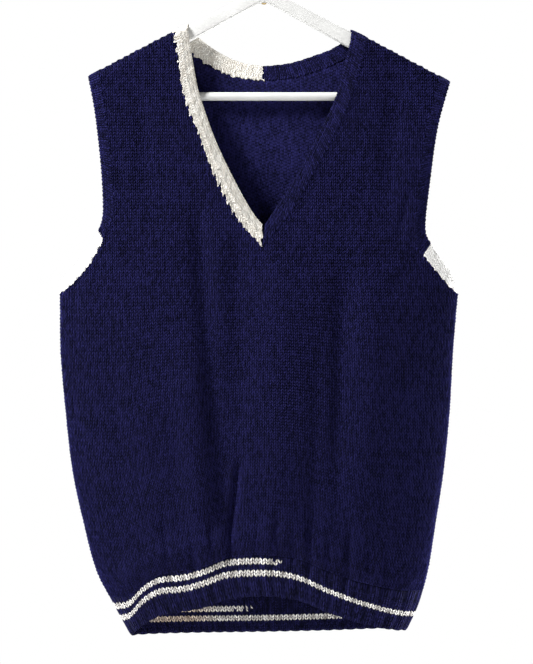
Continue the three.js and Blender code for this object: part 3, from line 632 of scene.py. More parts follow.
def band_piece(node, pick, mouth, start, end, courses, material, rise, ragged, stair, tuck=0, closed=False):
    """A ribbed band between two paths over the shoulder, from one length along the pick-up path to
    another. ragged is how unevenly its ends are worked, stair the height of the steps in its picked-up
    edge, tuck how far its ends lie under the next band, and a closed path goes round past its ends."""
    ribs = max(1, round((end - start) / RIB_PITCH))
    wales = ribs * WALES_PER_RIB + 2
    u, v = stitch_grid(wales, courses)
    salt = len(pieces)
    share_along = spread_wales(u) / spread_wales(wales)
    uneven = noise((2, 2 * courses + 2), 1, 20 + salt)
    end_shift = [np.interp(2 * v, np.arange(2 * courses + 2), uneven[i]) * ragged for i in (0, 1)]
    along = (start + end_shift[0]) * (1 - share_along) + (end + end_shift[1]) * share_along
    wrapped = along % pick.length if closed else np.clip(along, 0, pick.length)
    past_end = np.zeros(u.shape) if closed else np.maximum(along - pick.length, 0)
    away = np.sign(pick.at_share(1, np.array([0.5]))[0][0])
    in_front = wrapped <= pick.front_length
    share = np.where(in_front, wrapped / pick.front_length, (wrapped - pick.front_length) / pick.back_length)
    # The picked-up edge has a tooth at each stitch, and the cast-off edge swells at each rib
    tooth_height = 1 + noise(wales + 1, TOOTH_UNEVEN, 40 + salt)
    tooth = (np.abs(2 * (u % 1) - 1) - 0.5) * TOOTH * tooth_height[np.floor(u).astype(int)]
    stair_height = stair * (1 + noise(wales + 1, STAIR_UNEVEN, 60 + salt))
    stair_at = u / WALES_PER_STAIR
    tooth += (stair_at % 1 - 0.5) * stair_height[np.floor(stair_at).astype(int)]
    rib = rib_share(u)
    bump = (0.5 - np.abs(2 * (u % 1) - 1)) * (ARM_BUMP if closed else NECK_BUMP)
    across = v / courses
    across = across * (1 + UNDER_PANEL) - UNDER_PANEL + (1 - across) ** 3 * tooth / BAND_WIDTH
    across = across + across**3 * ((rib - 0.5) * rise * SCALLOP + bump) / BAND_WIDTH
    px, pz = np.zeros(u.shape), np.zeros(u.shape)
    points, normals = np.zeros((*u.shape, 3)), np.zeros((*u.shape, 3))
    for stage, mask in ((0, in_front), (1, ~in_front)):
        if not mask.any():
            continue
        x0, z0 = pick.at_share(stage, share[mask])
        x1, z1 = mouth.at_share(stage, share[mask])
        px[mask] = x0 + (x1 - x0) * across[mask] - away * past_end[mask]
        pz[mask] = z0 + (z1 - z0) * across[mask]
        pz[mask] = np.minimum(pz[mask], shoulder_top(px[mask]))
        points[mask], normals[mask] = cloth(stage == 0, px[mask], pz[mask])
    groove = rise * (1 - smoothstep(v / courses, *GROOVE_FADE))
    outer_off, inner_off = ribbed_offsets(u, v, groove)
    from_end = np.minimum(along - start, end - along)
    under = tuck * (1 - smoothstep(from_end, TUCK_REACH, 2 * TUCK_REACH))
    # The rim rounds off at the cast-off edge, and pits mark the picked-up one
    cast_off = smoothstep(v, courses - RIM_COURSES, courses)
    outer_off = eased(outer_off, cast_off, *CAST_OFF_OUTER)
    inner_off = eased(inner_off, cast_off, *CAST_OFF_INNER)
    picked = 1 - smoothstep(v, 0, PICK_COURSES)
    outer_off = eased(outer_off, picked, *PICKED_OUTER) - PICK_PIT * (1 - rib) ** 4 * picked
    inner_off = eased(inner_off, picked, *PICKED_INNER)
    outer = points + normals * (outer_off - under)[..., None]
    inner = points + normals * (inner_off + under)[..., None]
    pieces[node] = grid_shell(f"knit_{node}", outer, inner, u, v, material)


FRONT_COURSES = 11
BACK_COURSES = 15
LOWER_STRIPE = 5
UPPER_STRIPE = 9
HALF_STRIPE = 1
HEM_SAMPLES = 401
HEM_ROUNDS = 12
HEM_START_Z = -800.0
HEM_TOP_LAP = 0.9
HEM_TOP_COURSES = 1.2
HEM_WAVE_COURSES = 1.5
HEM_WAVE_SHIFT = 0.3
# Place across the hem, height of the lower stripe's middle above the hem's edge, of the upper one's
# above the lower's, and half a stripe's height
FRONT_STRIPES = [
    (-200, 21, 14, 3.4), (-160, 24, 14.5, 3.4), (-137, 29.5, 13.5, 3.3), (-93, 27, 13, 3.4),
    (-70, 29, 13.2, 3.5), (-56, 29.5, 13.3, 3.5), (-16, 27.5, 14, 3.5), (18, 27.5, 13, 3.1),
    (54, 26, 13, 2.7), (90, 25, 13, 2.6), (137, 22.7, 13, 2.6), (200, 18, 13, 2.8),
]
BACK_STRIPES = [(-200, 17, 11, 3.2), (0, 16.5, 11, 3.2), (200, 17, 11, 3.2)]


def hem_run(front):
    """Angles and lengths along the middle of a hem piece, and its number of wales."""
    angle = np.linspace(-math.pi / 2, math.pi / 2, HEM_SAMPLES)
    z = np.full(len(angle), HEM_START_Z)
    for _ in range(HEM_ROUNDS):
        z = hem_line(front, x_at(angle, z)) + RIB_HEIGHT / 2
    places = form(front, angle, z)
    lengths = running_length(places)
    wales = round(lengths[-1] / RIB_PITCH) * WALES_PER_RIB + 2
    return angle, lengths, places[:, 0], wales


def hem_wale(front, x):
    """The wale of the ribbing at a place across the hem."""
    _, lengths, across, wales = hem_run(front)
    return float(np.interp(x, across, lengths) / lengths[-1] * wales)


def hem_piece(name, front, material):
    """Ribbing along one panel's hem, its courses spaced so that the stripes lie where the tables say."""
    table = np.array(FRONT_STRIPES if front else BACK_STRIPES, float)
    lower, spacing, half = (Column(table[:, 0], table[:, i]) for i in (1, 2, 3))
    angle, lengths, _, wales = hem_run(front)
    courses = FRONT_COURSES if front else BACK_COURSES
    u, v = stitch_grid(wales, courses)
    share = spread_wales(u) / spread_wales(wales)
    at = np.interp(share * lengths[-1], lengths, angle)
    at[:, 0], at[:, -1] = -math.pi / 2, math.pi / 2
    level = np.full(u.shape, HEM_START_Z)
    courses_at = [0, LOWER_STRIPE - HALF_STRIPE, LOWER_STRIPE + HALF_STRIPE]
    courses_at += [UPPER_STRIPE - HALF_STRIPE, UPPER_STRIPE + HALF_STRIPE, courses]
    for _ in range(HEM_ROUNDS):
        x = x_at(at, level)
        low, high, thick = lower(x), lower(x) + spacing(x), half(x)
        top = 0 * x + RIB_HEIGHT + HEM_TOP_LAP
        marks = [0 * x, low - thick, low + thick, high - thick, high + thick, top]
        rise = np.zeros(u.shape)
        for i in range(len(marks) - 1):
            t = (v - courses_at[i]) / (courses_at[i + 1] - courses_at[i])
            part = (t >= 0) & (t <= 1)
            rise = np.where(part, marks[i] + (marks[i + 1] - marks[i]) * t, rise)
        level = hem_line(front, x) + rise
    points = form(front, at, level)
    normals = form_normal(front, at, level)
    outer_off, inner_off = ribbed_offsets(u, v)
    cast_on = 1 - smoothstep(v, 0, PICK_COURSES)
    top = smoothstep(v, courses - HEM_TOP_COURSES, courses)
    outer_off = eased(eased(outer_off, cast_on, *CAST_ON_OUTER), top, *HEM_TOP_BOTH)
    inner_off = eased(eased(inner_off, cast_on, *CAST_ON_INNER), top, *HEM_TOP_BOTH)
    uneven = rib_share(u) * SCALLOP - HEM_WAVE_SHIFT
    points[..., 2] -= uneven * (1 - smoothstep(v, 0, HEM_WAVE_COURSES))
    outer = points + normals * outer_off[..., None]
    inner = points + normals * inner_off[..., None]
    for face in (outer, inner):
        face[:, [0, -1], 1] = -SEAM_Y if front else SEAM_Y
    return grid_shell(name, outer, inner, u, v, material, flip=not front)


# Materials
class Nodes:
    """Short calls for building a material's nodes."""

    def __init__(self, name):
        self.material = bpy.data.materials.new(name)
        self.material.use_nodes = True
        self.tree = self.material.node_tree
        self.shader = self.tree.nodes["Principled BSDF"]

    def add(self, kind, inputs=(), **settings):
        node = self.tree.nodes.new(kind)
        for key, value in settings.items():
            setattr(node, key, value)
        for key, value in dict(inputs).items():
            self.set(node.inputs[key], value)
        return node

    def set(self, socket, value):
        if isinstance(value, bpy.types.NodeSocket):
            self.tree.links.new(value, socket)
        else:
            socket.default_value = value

    def math(self, operation, a, b=0.0, c=0.0):
        node = self.add("ShaderNodeMath", operation=operation)
        for i, value in enumerate((a, b, c)):
            self.set(node.inputs[i], value)
        return node.outputs[0]

    def mul(self, a, b):
        return self.math("MULTIPLY", a, b)

    def scaled(self, value, factor, shift):
        return self.math("MULTIPLY_ADD", value, factor, shift)

    def total(self, value, *others):
        for other in others:
            value = self.math("ADD", value, other)
        return value

    def size(self, value):
        return self.math("ABSOLUTE", value)

    def wave(self, value):
        """Humps one unit long."""
        return self.size(self.math("SINE", self.mul(value, math.pi)))

    def mix(self, factor, a, b, blend="MIX"):
        node = self.add("ShaderNodeMix", data_type="RGBA", blend_type=blend)
        self.set(node.inputs[0], factor)
        self.set(node.inputs[6], a)
        self.set(node.inputs[7], b)
        return node.outputs[2]

    def noise(self, scale, detail, roughness, vector):
        settings = {"Scale": scale, "Detail": detail, "Roughness": roughness, "Vector": vector}
        return self.add("ShaderNodeTexNoise", settings).outputs["Fac"]

    def chance(self, dimensions, socket, value):
        """A steady random value for each value given."""
        node = self.add("ShaderNodeTexWhiteNoise", {socket: value}, noise_dimensions=dimensions)
        return node.outputs["Value"]

    def range(self, value, low, high, to_low, to_high):
        node = self.add("ShaderNodeMapRange", clamp=True)
        for i, x in enumerate((value, low, high, to_low, to_high)):
            self.set(node.inputs[i], x)
        return node.outputs[0]

    def swing(self, value, low, high, amount):
        return self.range(value, low, high, -amount, amount)

    def surface(self, settings, height, strength, distance):
        """The finished material, with a bump from a height and these settings of its shader."""
        bump = self.add("ShaderNodeBump", {"Height": height, "Strength": strength, "Distance": distance})
        for key, value in {**settings, "Normal": bump.outputs[0]}.items():
            self.set(self.shader.inputs[key], value)
        return self.material


MOST_NOISE = 0.3, 0.7
# Each yarn's colour runs from a valley tone, which is painted shade deep between the stitches, to the yarn's
# own colour on a leg's crest. The cream pairs below hold the same two tones.
NAVY_CREST = (0.0150, 0.0145, 0.0790, 1)
NAVY_VALLEY_SHADE = (0.0014, 0.0015, 0.0066, 1)
CREAM_TONES = (0.55, 0.51, 0.45, 1), (0.84, 0.825, 0.78, 1)
STRIPE_TONES = (0.26, 0.24, 0.23, 1), (0.88, 0.865, 0.82, 1)
# Near-white cream tones: a painted highlight for the glare on the armhole bands' cream
PAINTED_HIGHLIGHT_TONES = (0.88, 0.87, 0.85, 1), (0.98, 0.975, 0.96, 1)
PAINTED_SHADE_TAN = (0.72, 0.5, 0.34, 1)
YARNS = {
    "navy": {"lint": (0.10, 0.10, 0.20, 1), "linty": 0.3, "sheen": 0.035, "tint": (0.35, 0.36, 0.75, 1)},
    "cream": {"lint": (0.8, 0.78, 0.72, 1), "linty": 0.1, "sheen": 0.15, "tint": (1, 0.98, 0.93, 1)},
}
PAINTED_SHADE_FADE = 0.02, 0.05
PAINTED_SHADE_SHARE = 0.6
LEG_GAP = 0.15
# An even number of wales, which keeps their count above zero
WALE_SHIFT = 4096.0
# Shares of a purl bump's height, and of the light that reaches the ribs and the grooves between them
PURL_ROW, PURL_SIDE, PURL_FLOOR = 0.45, -0.2, 0.4
RIB_LIT, GROOVE_SHADE, RIB_SHADE = 0.6, 0.42, 0.9
PLIES_ALONG, PLIES_ACROSS = 22.0, 30.0
FIBRE_SCALE, LINT_SCALE, PATCH_SCALE = 1900.0, 700.0, 26.0
# How much stitches, patches, fibres and rows differ in lightness
STITCH_TONE, PATCH_TONE, FIBRE_TONE, ROW_TONE = 0.36, 0.05, 0.25, 0.04
DARKEN = 0.05
HEM_LIGHTNESS = 0.58
STRIPE_END_WOBBLE = 2.5
WITHIN_TWO_COURSES = 0.8
STRIPED_LEG = 0.12, 0.34
LINT_SPOTS = 0.72, 0.82
PLY_HEIGHT, FIBRE_HEIGHT = 0.05, 0.35
PLAIN_BUMP, RIB_BUMP = 0.0012, 0.0007


# Cream wool's colour; around the given x a tan painted shade is multiplied onto it
def cream_colour(n, lightness, tones, place, shade_x):
    cream = n.mix(lightness, *tones)
    if shade_x is None:
        return cream
    across = n.add("ShaderNodeSeparateXYZ", {0: place}).outputs[0]
    tan_shade = n.range(n.size(n.math("SUBTRACT", across, shade_x)), *PAINTED_SHADE_FADE, PAINTED_SHADE_SHARE, 0.0)
    return n.mix(tan_shade, cream, PAINTED_SHADE_TAN, "MULTIPLY")


def wool(name, colour, purl=False, ribbed=0.0, upper_end=None, cream_tones=CREAM_TONES, shade_x=None):
    """Knitted wool. Its colour and fine relief follow the wales and courses in the Knit map, and the colour
    holds painted shade in the hollows between stitches. ribbed is how marked its ribs are. A hem's wool has
    two stripes, and upper_end is the wale where the upper one ends. The last argument is the middle of a tan
    painted shade on its cream, in metres."""
    n = Nodes(name)
    yarn = YARNS[colour]
    place = n.add("ShaderNodeTexCoord").outputs["Object"]
    uv = n.add("ShaderNodeUVMap", uv_map="Knit").outputs[0]
    u, v = n.add("ShaderNodeSeparateXYZ", {0: uv}).outputs[:2]
    across = n.size(n.scaled(n.math("FRACT", u), 2.0, -1.0))
    slant = LEG_SLANT if ribbed else 1.0
    slanted = n.total(v, n.scaled(across, -slant, slant / 2))
    off_leg = n.size(n.scaled(across, 2.0, -1.0))
    roundness = n.math("SUBTRACT", 1.0, n.mul(off_leg, off_leg))
    leg = n.mul(roundness, n.scaled(n.wave(slanted), 1 - LEG_GAP, LEG_GAP))
    # Bumps of the purl side lie across the wale, staggered like bricks
    odd = n.math("MODULO", n.math("FLOOR", n.total(u, WALE_SHIFT)), 2.0)
    bumps = n.wave(n.scaled(odd, 0.5, v))
    bump_shape = n.scaled(bumps, PURL_ROW, n.scaled(off_leg, PURL_SIDE, PURL_FLOOR))
    relief = bump_shape if purl else leg
    if ribbed:
        rib_turn = n.mul(n.math("SUBTRACT", u, 1.0), 2 * math.pi / WALES_PER_RIB)
        rib = n.scaled(n.math("COSINE", rib_turn), ribbed / 2, 1 - ribbed / 2)
        relief = n.total(n.mul(leg, rib), n.mul(bump_shape, n.math("SUBTRACT", 1.0, rib)))
        relief = n.mul(relief, n.range(rib, 0.0, RIB_LIT, GROOVE_SHADE, RIB_SHADE))
    # Plies of the yarn run across each leg, and fibres blur it all
    ply = n.math("SINE", n.total(n.mul(slanted, PLIES_ALONG), n.mul(across, PLIES_ACROSS)))
    fibre = n.noise(FIBRE_SCALE, 3.0, 0.6, place)
    lint = n.noise(LINT_SCALE, 2.0, 0.5, place)
    patch = n.noise(PATCH_SCALE, 3.0, 0.55, place)
    course = n.math("FLOOR", slanted)
    stitch = n.add("ShaderNodeCombineXYZ", {0: n.math("FLOOR", n.mul(u, 2.0)), 1: course}).outputs[0]
    each = n.chance("3D", "Vector", stitch)
    row = n.chance("1D", "W", n.math("FLOOR", v))
    tone = n.total(
        n.swing(each, 0.0, 1.0, STITCH_TONE), n.swing(patch, *MOST_NOISE, PATCH_TONE),
        n.swing(fibre, *MOST_NOISE, FIBRE_TONE), n.swing(row, 0.0, 1.0, ROW_TONE),
    )
    # The relief darkens the colour in the hollows between legs and purl bumps, which is painted shade; the
    # random stitch, patch, fibre and row tone is the yarn's own.
    lightness = n.total(n.scaled(relief, 1 + DARKEN, -DARKEN), tone)
    lightness = n.math("MINIMUM", n.math("MAXIMUM", lightness, 0.0), 1.0)
    if colour == "cream":
        base = cream_colour(n, lightness, cream_tones, place, shade_x)
    elif upper_end is None:
        base = n.mix(lightness, NAVY_VALLEY_SHADE, NAVY_CREST)
    else:
        navy = n.mix(n.mul(lightness, HEM_LIGHTNESS), NAVY_VALLEY_SHADE, NAVY_CREST)
        lower, upper = (
            n.math("COMPARE", course, middle - 0.5, WITHIN_TWO_COURSES)
            for middle in (LOWER_STRIPE, UPPER_STRIPE)
        )
        wobbling = n.total(u, n.scaled(each, 2 * STRIPE_END_WOBBLE, -STRIPE_END_WOBBLE))
        upper = n.mul(upper, n.math("LESS_THAN", wobbling, upper_end))
        # Cream covers only the legs of a stripe's stitches; the navy left in the gaps between them is
        # painted shade
        striped = n.mul(n.math("MAXIMUM", lower, upper), n.range(leg, *STRIPED_LEG, 0.0, 1.0))
        base = n.mix(striped, navy, cream_colour(n, lightness, cream_tones, place, shade_x))
    base = n.mix(n.range(lint, *LINT_SPOTS, 0.0, yarn["linty"]), base, yarn["lint"])
    settings = {
        "Base Color": base, "Roughness": n.range(fibre, *MOST_NOISE, 0.86, 1.0),
        "Specular IOR Level": 0.04, "Sheen Weight": yarn["sheen"], "Sheen Roughness": 0.45,
        "Sheen Tint": yarn["tint"],
    }
    height = n.total(relief, n.scaled(ply, PLY_HEIGHT, n.mul(fibre, FIBRE_HEIGHT)))
    return n.surface(settings, height, 1.0, RIB_BUMP if ribbed else PLAIN_BUMP)


PAINT_DARK, PAINT_LIGHT, PAINT_SCUFFED = (0.54, 0.54, 0.53, 1), (0.59, 0.59, 0.58, 1), (0.50, 0.49, 0.47, 1)
BRASS_BRIGHT, BRASS_DARK = (0.58, 0.44, 0.21, 1), (0.36, 0.27, 0.14, 1)


def painted_wood():
    n = Nodes("white_painted_wood")
    place = n.add("ShaderNodeTexCoord").outputs["Object"]
    stretched = n.add("ShaderNodeMapping", {"Vector": place, "Scale": (12.0, 260.0, 260.0)}).outputs[0]
    grain = n.noise(1.0, 4.0, 0.6, stretched)
    mottling = n.noise(40.0, 3.0, 0.5, place)
    scuffs = n.range(n.noise(120.0, 5.0, 0.65, place), 0.66, 0.74, 0.0, 0.35)
    paint = n.mix(n.range(mottling, *MOST_NOISE, 0.0, 1.0), PAINT_DARK, PAINT_LIGHT)
    settings = {
        "Base Color": n.mix(scuffs, paint, PAINT_SCUFFED),
        "Roughness": n.range(mottling, *MOST_NOISE, 0.32, 0.46),
    }
    return n.surface(settings, grain, 0.25, 0.0004)


def hook_wire():
    n = Nodes("brass_wire")
    place = n.add("ShaderNodeTexCoord").outputs["Object"]
    tarnish = n.noise(160.0, 4.0, 0.6, place)
    tarnished = 0.4, 0.65
    settings = {
        "Base Color": n.mix(n.range(tarnish, *tarnished, 0.0, 1.0), BRASS_BRIGHT, BRASS_DARK),
        "Roughness": n.range(tarnish, *tarnished, 0.25, 0.5), "Metallic": 1.0,
    }
    return n.surface(settings, n.noise(1500.0, 2.0, 0.5, place), 0.2, 0.0002)


navy_knit = wool("navy_wool_knit", "navy")
navy_purl = wool("navy_wool_purl", "navy", purl=True)
navy_rib = wool("navy_wool_rib", "navy", ribbed=0.3)
cream_rib = wool("cream_wool_rib", "cream", ribbed=0.1)
# The armhole bands' cream is a lighter copy of the cream wool, a painted highlight
cream_painted_highlight = wool("cream_wool_painted_highlight", "cream", ribbed=0.1, cream_tones=PAINTED_HIGHLIGHT_TONES)
# Where each upper stripe ends, and where the tan painted shade lies on the back hem's cream
FRONT_STRIPE_END_X = 19
BACK_STRIPE_END_X = -25
PAINTED_SHADE_X = -0.105
HEM_RIBBED = 0.8
front_hem_wool = wool(
    "striped_wool_front", "navy", ribbed=HEM_RIBBED, upper_end=hem_wale(True, FRONT_STRIPE_END_X),
    cream_tones=STRIPE_TONES,
)
back_hem_wool = wool(
    "striped_wool_back", "navy", ribbed=HEM_RIBBED, upper_end=hem_wale(False, BACK_STRIPE_END_X),
    cream_tones=STRIPE_TONES, shade_x=PAINTED_SHADE_X,
)
white_wood = painted_wood()
brass = hook_wire()

# Cloth pieces
pieces = {}
pieces["front_panel"] = knit_panel("knit_front_panel", True, [navy_knit, navy_purl])
pieces["back_panel"] = knit_panel("knit_back_panel", False, [navy_knit, navy_purl])
pieces["front_hem_rib"] = hem_piece("knit_front_hem", True, front_hem_wool)
pieces["back_hem_rib"] = hem_piece("knit_back_hem", False, back_hem_wool)
NECK_COURSES = 5
ARM_COURSES = 4
NECK_OVERLAP = {"left": 1, "right": -2.5}
ARM_JOIN_GAP = 0.2
for side_name, node, material, rise, ragged, stair, tuck in (
    ("left", "neckband_cream", cream_rib, 0.05, 2.4, 2.6, 0),
    ("right", "neckband_navy", navy_rib, 0.5, 0.3, 0.3, 0.6),
):
    edges = EDGES[side_name]
    pick = Path(edges["neck_pick"], edges["back_pick"])
    mouth = Path(edges["neck_mouth"], edges["back_mouth"])
    lap = NECK_OVERLAP[side_name]
    band_piece(node, pick, mouth, lap, pick.length - lap, NECK_COURSES, material, rise, ragged, stair, tuck)
for side_name, worn in (("left", "right"), ("right", "left")):
    edges = EDGES[side_name]
    pick = Path(edges["arm_pick"], edges["arm_pick"])
    mouth = Path(edges["arm_mouth"], edges["arm_mouth"])
    join = pick.front_length_to(NAVY_ENDS_Z[side_name])
    band_piece(
        f"armhole_band_{worn}_navy", pick, mouth, join + ARM_JOIN_GAP, pick.length - join - ARM_JOIN_GAP,
        ARM_COURSES, navy_rib, rise=0.12, ragged=0.2, stair=0.6, closed=True,
    )
    band_piece(
        f"armhole_band_{worn}_cream", pick, mouth, ARM_JOIN_GAP - join, join - ARM_JOIN_GAP,
        ARM_COURSES, cream_painted_highlight, rise=0.08, ragged=1.0, stair=1.6, closed=True,
    )

# Hanger
BOW_THICKNESS = 12
BOW_BEVEL = 4
BOW_TOP_DROP = 4.2
BOW_UNDER_Z = -89
BOW_UNDER_SLOPE = 0.55
BOW_UNDER_FLAT = 4.5
BOW_CROWN = 16
CROWN_RISE = 1.2
BAR_Z = -199.4
BAR_RADIUS = 5
LUG_INNER_X = 171
ARM_END_X = 194
LUG_BELOW_BAR = 9
LUG_CORNER = 8
LUG_ROUND = 3
ARM_ROUND = 4
BAR_CHAMFER = 0.6
BAR_PLAIN_END = 8
BAR_STEPS, BAR_SIDES = 24, 28
WIRE_RADIUS = 1.8
WIRE_END_DRAW = 0.7
WIRE_STEPS, WIRE_SIDES = 6, 16
LOOP_RADIUS = 20
LOOP_TIP_ANGLE = 205
LOOP_END_ANGLE = -48
SHANK_TOP_Z = -58
SHANK_HEAD_HEIGHT = 1.6
HEAD_CLEARANCE = 0.8
# Drop below the bow and radius along the shank's headed-over end
SHANK_HEAD = [(-0.2, WIRE_RADIUS), (0, 2.56), (0.3, 3.2), (1.0, 2.72), (SHANK_HEAD_HEIGHT, 1.28)]
SHARP_ANGLE = math.radians(50)


def quadratic(a, b, c, steps):
    t = np.linspace(0, 1, steps + 1)[:, None]
    a, b, c = (np.array(p, float) for p in (a, b, c))
    return list((1 - t) ** 2 * a + 2 * t * (1 - t) * b + t**2 * c)


def hanger_bow():
    top = lambda x: shoulder_top(x) - BOW_TOP_DROP
    under = lambda x: BOW_UNDER_Z - BOW_UNDER_SLOPE * (abs(x) - BOW_UNDER_FLAT)
    crown_z = (top(0) + top(BOW_CROWN)) / 2
    end_x, in_x = ARM_END_X, ARM_END_X - LUG_CORNER
    lug_x, arm_x = LUG_INNER_X, LUG_INNER_X - ARM_ROUND
    low_z = BAR_Z - LUG_BELOW_BAR
    corners = (
        ((0, crown_z), (BOW_CROWN / 2, crown_z + CROWN_RISE), (BOW_CROWN, top(BOW_CROWN)), 8),
        ((in_x, top(in_x)), (end_x, top(end_x)), (end_x, top(end_x) - LUG_CORNER), 8),
        ((end_x, low_z + LUG_CORNER), (end_x, low_z), (in_x, low_z), 8),
        ((lug_x + LUG_ROUND, low_z), (lug_x, low_z), (lug_x, low_z + LUG_ROUND), 3),
        ((lug_x, under(lug_x) - ARM_ROUND), (lug_x, under(lug_x)), (arm_x, under(arm_x)), 4),
    )
    half = [point for corner in corners for point in quadratic(*corner)]
    half.append(np.array((BOW_UNDER_FLAT, BOW_UNDER_Z), float))
    outline = half + [np.array((-p[0], p[1])) for p in half[:0:-1]]
    mesh = bmesh.new()
    corners = [mesh.verts.new((p[0], -BOW_THICKNESS / 2, p[1])) for p in outline]
    face = mesh.faces.new(corners)
    extruded = bmesh.ops.extrude_face_region(mesh, geom=[face])
    for item in extruded["geom"]:
        if isinstance(item, bmesh.types.BMVert):
            item.co.y = BOW_THICKNESS / 2
    bmesh.ops.recalc_face_normals(mesh, faces=mesh.faces)
    flat = [e for e in mesh.edges if abs(e.verts[0].co.y - e.verts[1].co.y) < 1e-6]
    bmesh.ops.bevel(
        mesh, geom=flat, offset=BOW_BEVEL, offset_type="OFFSET", segments=6, profile=0.5,
        affect="EDGES", clamp_overlap=True,
    )
    bmesh.ops.triangulate(mesh, faces=[f for f in mesh.faces if len(f.verts) > 4])
    points = [v.co[:] for v in mesh.verts]
    faces = [[v.index for v in f.verts] for f in mesh.faces]
    mesh.free()
    obj = make_object("hanger_arms", points, faces, [white_wood])
    obj.data.set_sharp_from_angle(angle=SHARP_ANGLE)
    return obj


def tube(name, route, radii, material, sides):
    """A round bar along points in the XZ plane, with a radius for each point and closed ends."""
    route = np.array(route, float)
    ahead = np.gradient(route, axis=0)
    ahead /= np.linalg.norm(ahead, axis=1, keepdims=True)
    aside = np.c_[-ahead[:, 2], 0 * ahead[:, 0], ahead[:, 0]]
    turn = np.linspace(0, 2 * math.pi, sides, endpoint=False)
    radii = np.array(radii, float)[:, None, None]
    turn = turn[None, :, None]
    ring = np.cos(turn) * aside[:, None, :] + np.sin(turn) * np.array([0, 1.0, 0])
    points = (route[:, None, :] + ring * radii).reshape(-1, 3)
    index = np.arange(len(points)).reshape(len(route), sides)
    faces = [
        [index[i, j], index[i, (j + 1) % sides], index[i + 1, (j + 1) % sides], index[i + 1, j]]
        for i in range(len(route) - 1)
        for j in range(sides)
    ]
    faces.append(list(index[0][::-1]))
    faces.append(list(index[-1]))
    obj = make_object(name, points, faces, [material])
    obj.data.set_sharp_from_angle(angle=SHARP_ANGLE)
    return obj


def hanger_bar():
    end = LUG_INNER_X - SEAM_GAP
    middle = np.linspace(BAR_PLAIN_END - end, end - BAR_PLAIN_END, BAR_STEPS)
    xs = np.concatenate([[-end, BAR_CHAMFER - end], middle, [end - BAR_CHAMFER, end]])
    radii = np.full(len(xs), float(BAR_RADIUS))
    radii[[0, -1]] -= BAR_CHAMFER
    return tube("hanger_bar_round", [(x, 0, BAR_Z) for x in xs], radii, white_wood, BAR_SIDES)


def hanger_hook():
    loop_z = WIRE_RADIUS - LOOP_RADIUS
    bend_z = loop_z - LOOP_RADIUS - WIRE_RADIUS
    route = [
        (LOOP_RADIUS * math.cos(math.radians(a)), loop_z + LOOP_RADIUS * math.sin(math.radians(a)))
        for a in np.arange(LOOP_TIP_ANGLE, LOOP_END_ANGLE, -20)
    ]
    route += [(LOOP_RADIUS / 3, bend_z), (LOOP_RADIUS / 20, (bend_z + SHANK_TOP_Z) / 2)]
    end_z = BOW_UNDER_Z - SHANK_HEAD_HEIGHT
    route += [(0, SHANK_TOP_Z + (end_z - SHANK_TOP_Z) * s) for s in (0, 0.33, 0.67, 1)]
    p = np.array(route, float)
    p = np.vstack([2 * p[0] - p[1], p, 2 * p[-1] - p[-2]])
    # The shank is headed over under the bow
    head_top = BOW_UNDER_Z - SEAM_GAP
    points = [(x, 0, z) for x, z in curve_through(p, WIRE_STEPS) if z > head_top + HEAD_CLEARANCE]
    radii = [WIRE_RADIUS] * len(points)
    radii[0] -= WIRE_END_DRAW
    for drop, radius in SHANK_HEAD:
        points.append((0, 0, head_top - drop))
        radii.append(radius)
    return tube("hanger_hook_wire", points, radii, brass, WIRE_SIDES)


pieces["hanger_bow"] = hanger_bow()
pieces["hanger_bar"] = hanger_bar()
pieces["hanger_hook"] = hanger_hook()

# Each piece hangs from the root body and takes the place of the model.glb part of the same name
for node, piece in pieces.items():
    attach(piece, "root")
    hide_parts(node)

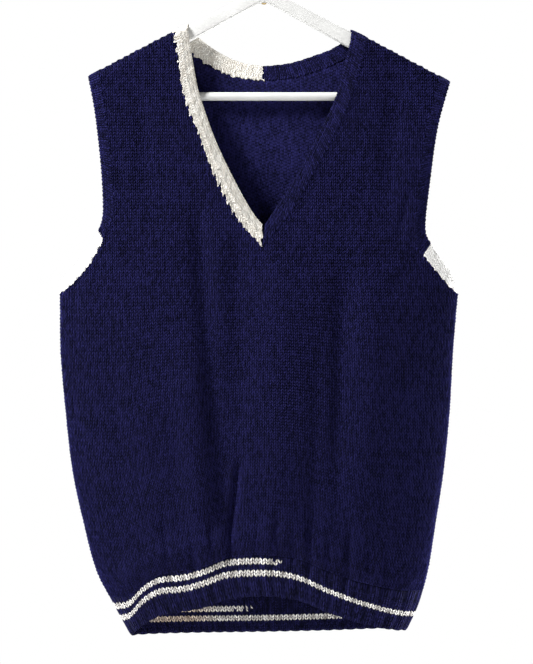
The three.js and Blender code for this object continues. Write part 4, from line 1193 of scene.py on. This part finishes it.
# Camera, light, floor
PHOTO_HEIGHT_PX = 664
MM_PER_PX = 1.18
CAMERA_X, CAMERA_Z, CAMERA_AWAY = 2.95, -477.3, 2400
SENSOR = 36
camera_data = bpy.data.cameras.new("camera")
camera_data.sensor_fit = "VERTICAL"
camera_data.sensor_height = SENSOR
camera_data.lens = SENSOR * CAMERA_AWAY / (PHOTO_HEIGHT_PX * MM_PER_PX)
camera_data.clip_end = 50
camera = placed("camera", camera_data, Vector((CAMERA_X, -CAMERA_AWAY, CAMERA_Z)) * MM)
camera.rotation_euler = (math.pi / 2, 0, 0)
bpy.context.scene.camera = camera

# Name, place and diameter in metres, and power in watts
LIGHTS = [
    ("key", (-1.65, -0.74, 1.1), 0.62, 150),
    ("fill", (1.2, -2.7, 0), 1.8, 10),
    ("left rim", (-2.4, 0.7, -0.3), 1.0, 80),
    ("right rim", (2.4, 0.5, -0.3), 1.0, 220),
    ("behind", (0.6, 2.6, 0.6), 1.6, 40),
]
VEST_MIDDLE = Vector((0, 0, -0.45))
for name, place, size, power in LIGHTS:
    light = bpy.data.lights.new(name, "AREA")
    light.shape = "DISK"
    light.size = size
    light.energy = power
    lamp = placed(name, light, place)
    lamp.rotation_euler = (VEST_MIDDLE - Vector(place)).to_track_quat("-Z", "Y").to_euler()

# The surroundings are white to look at, and light the vest more weakly
SEEN_STRENGTH = 1.0
AMBIENT_STRENGTH = 0.17
world = bpy.data.worlds.new("studio")
world.use_nodes = True
nodes, links = world.node_tree.nodes, world.node_tree.links
background = nodes["Background"]
background.inputs[0].default_value = (1, 1, 1, 1)
ray = nodes.new("ShaderNodeLightPath")
strength = nodes.new("ShaderNodeMapRange")
strength.inputs["To Min"].default_value = AMBIENT_STRENGTH
strength.inputs["To Max"].default_value = SEEN_STRENGTH
links.new(ray.outputs["Is Camera Ray"], strength.inputs["Value"])
links.new(strength.outputs[0], background.inputs[1])
bpy.context.scene.world = world
bpy.context.scene.view_settings.view_transform = "Standard"

FLOOR_Z = -1.25
FLOOR_RADIUS = 1.7
floor_mesh = bmesh.new()
bmesh.ops.create_circle(floor_mesh, cap_ends=True, segments=96, radius=FLOOR_RADIUS)
floor_data = bpy.data.meshes.new("floor")
floor_mesh.to_mesh(floor_data)
floor_mesh.free()
floor = placed("floor", floor_data, (0, 0, FLOOR_Z))
floor_nodes = Nodes("pale_floor")
floor_nodes.set(floor_nodes.shader.inputs["Base Color"], (0.86, 0.86, 0.85, 1))
floor_nodes.set(floor_nodes.shader.inputs["Roughness"], 0.9)
floor_data.materials.append(floor_nodes.material)
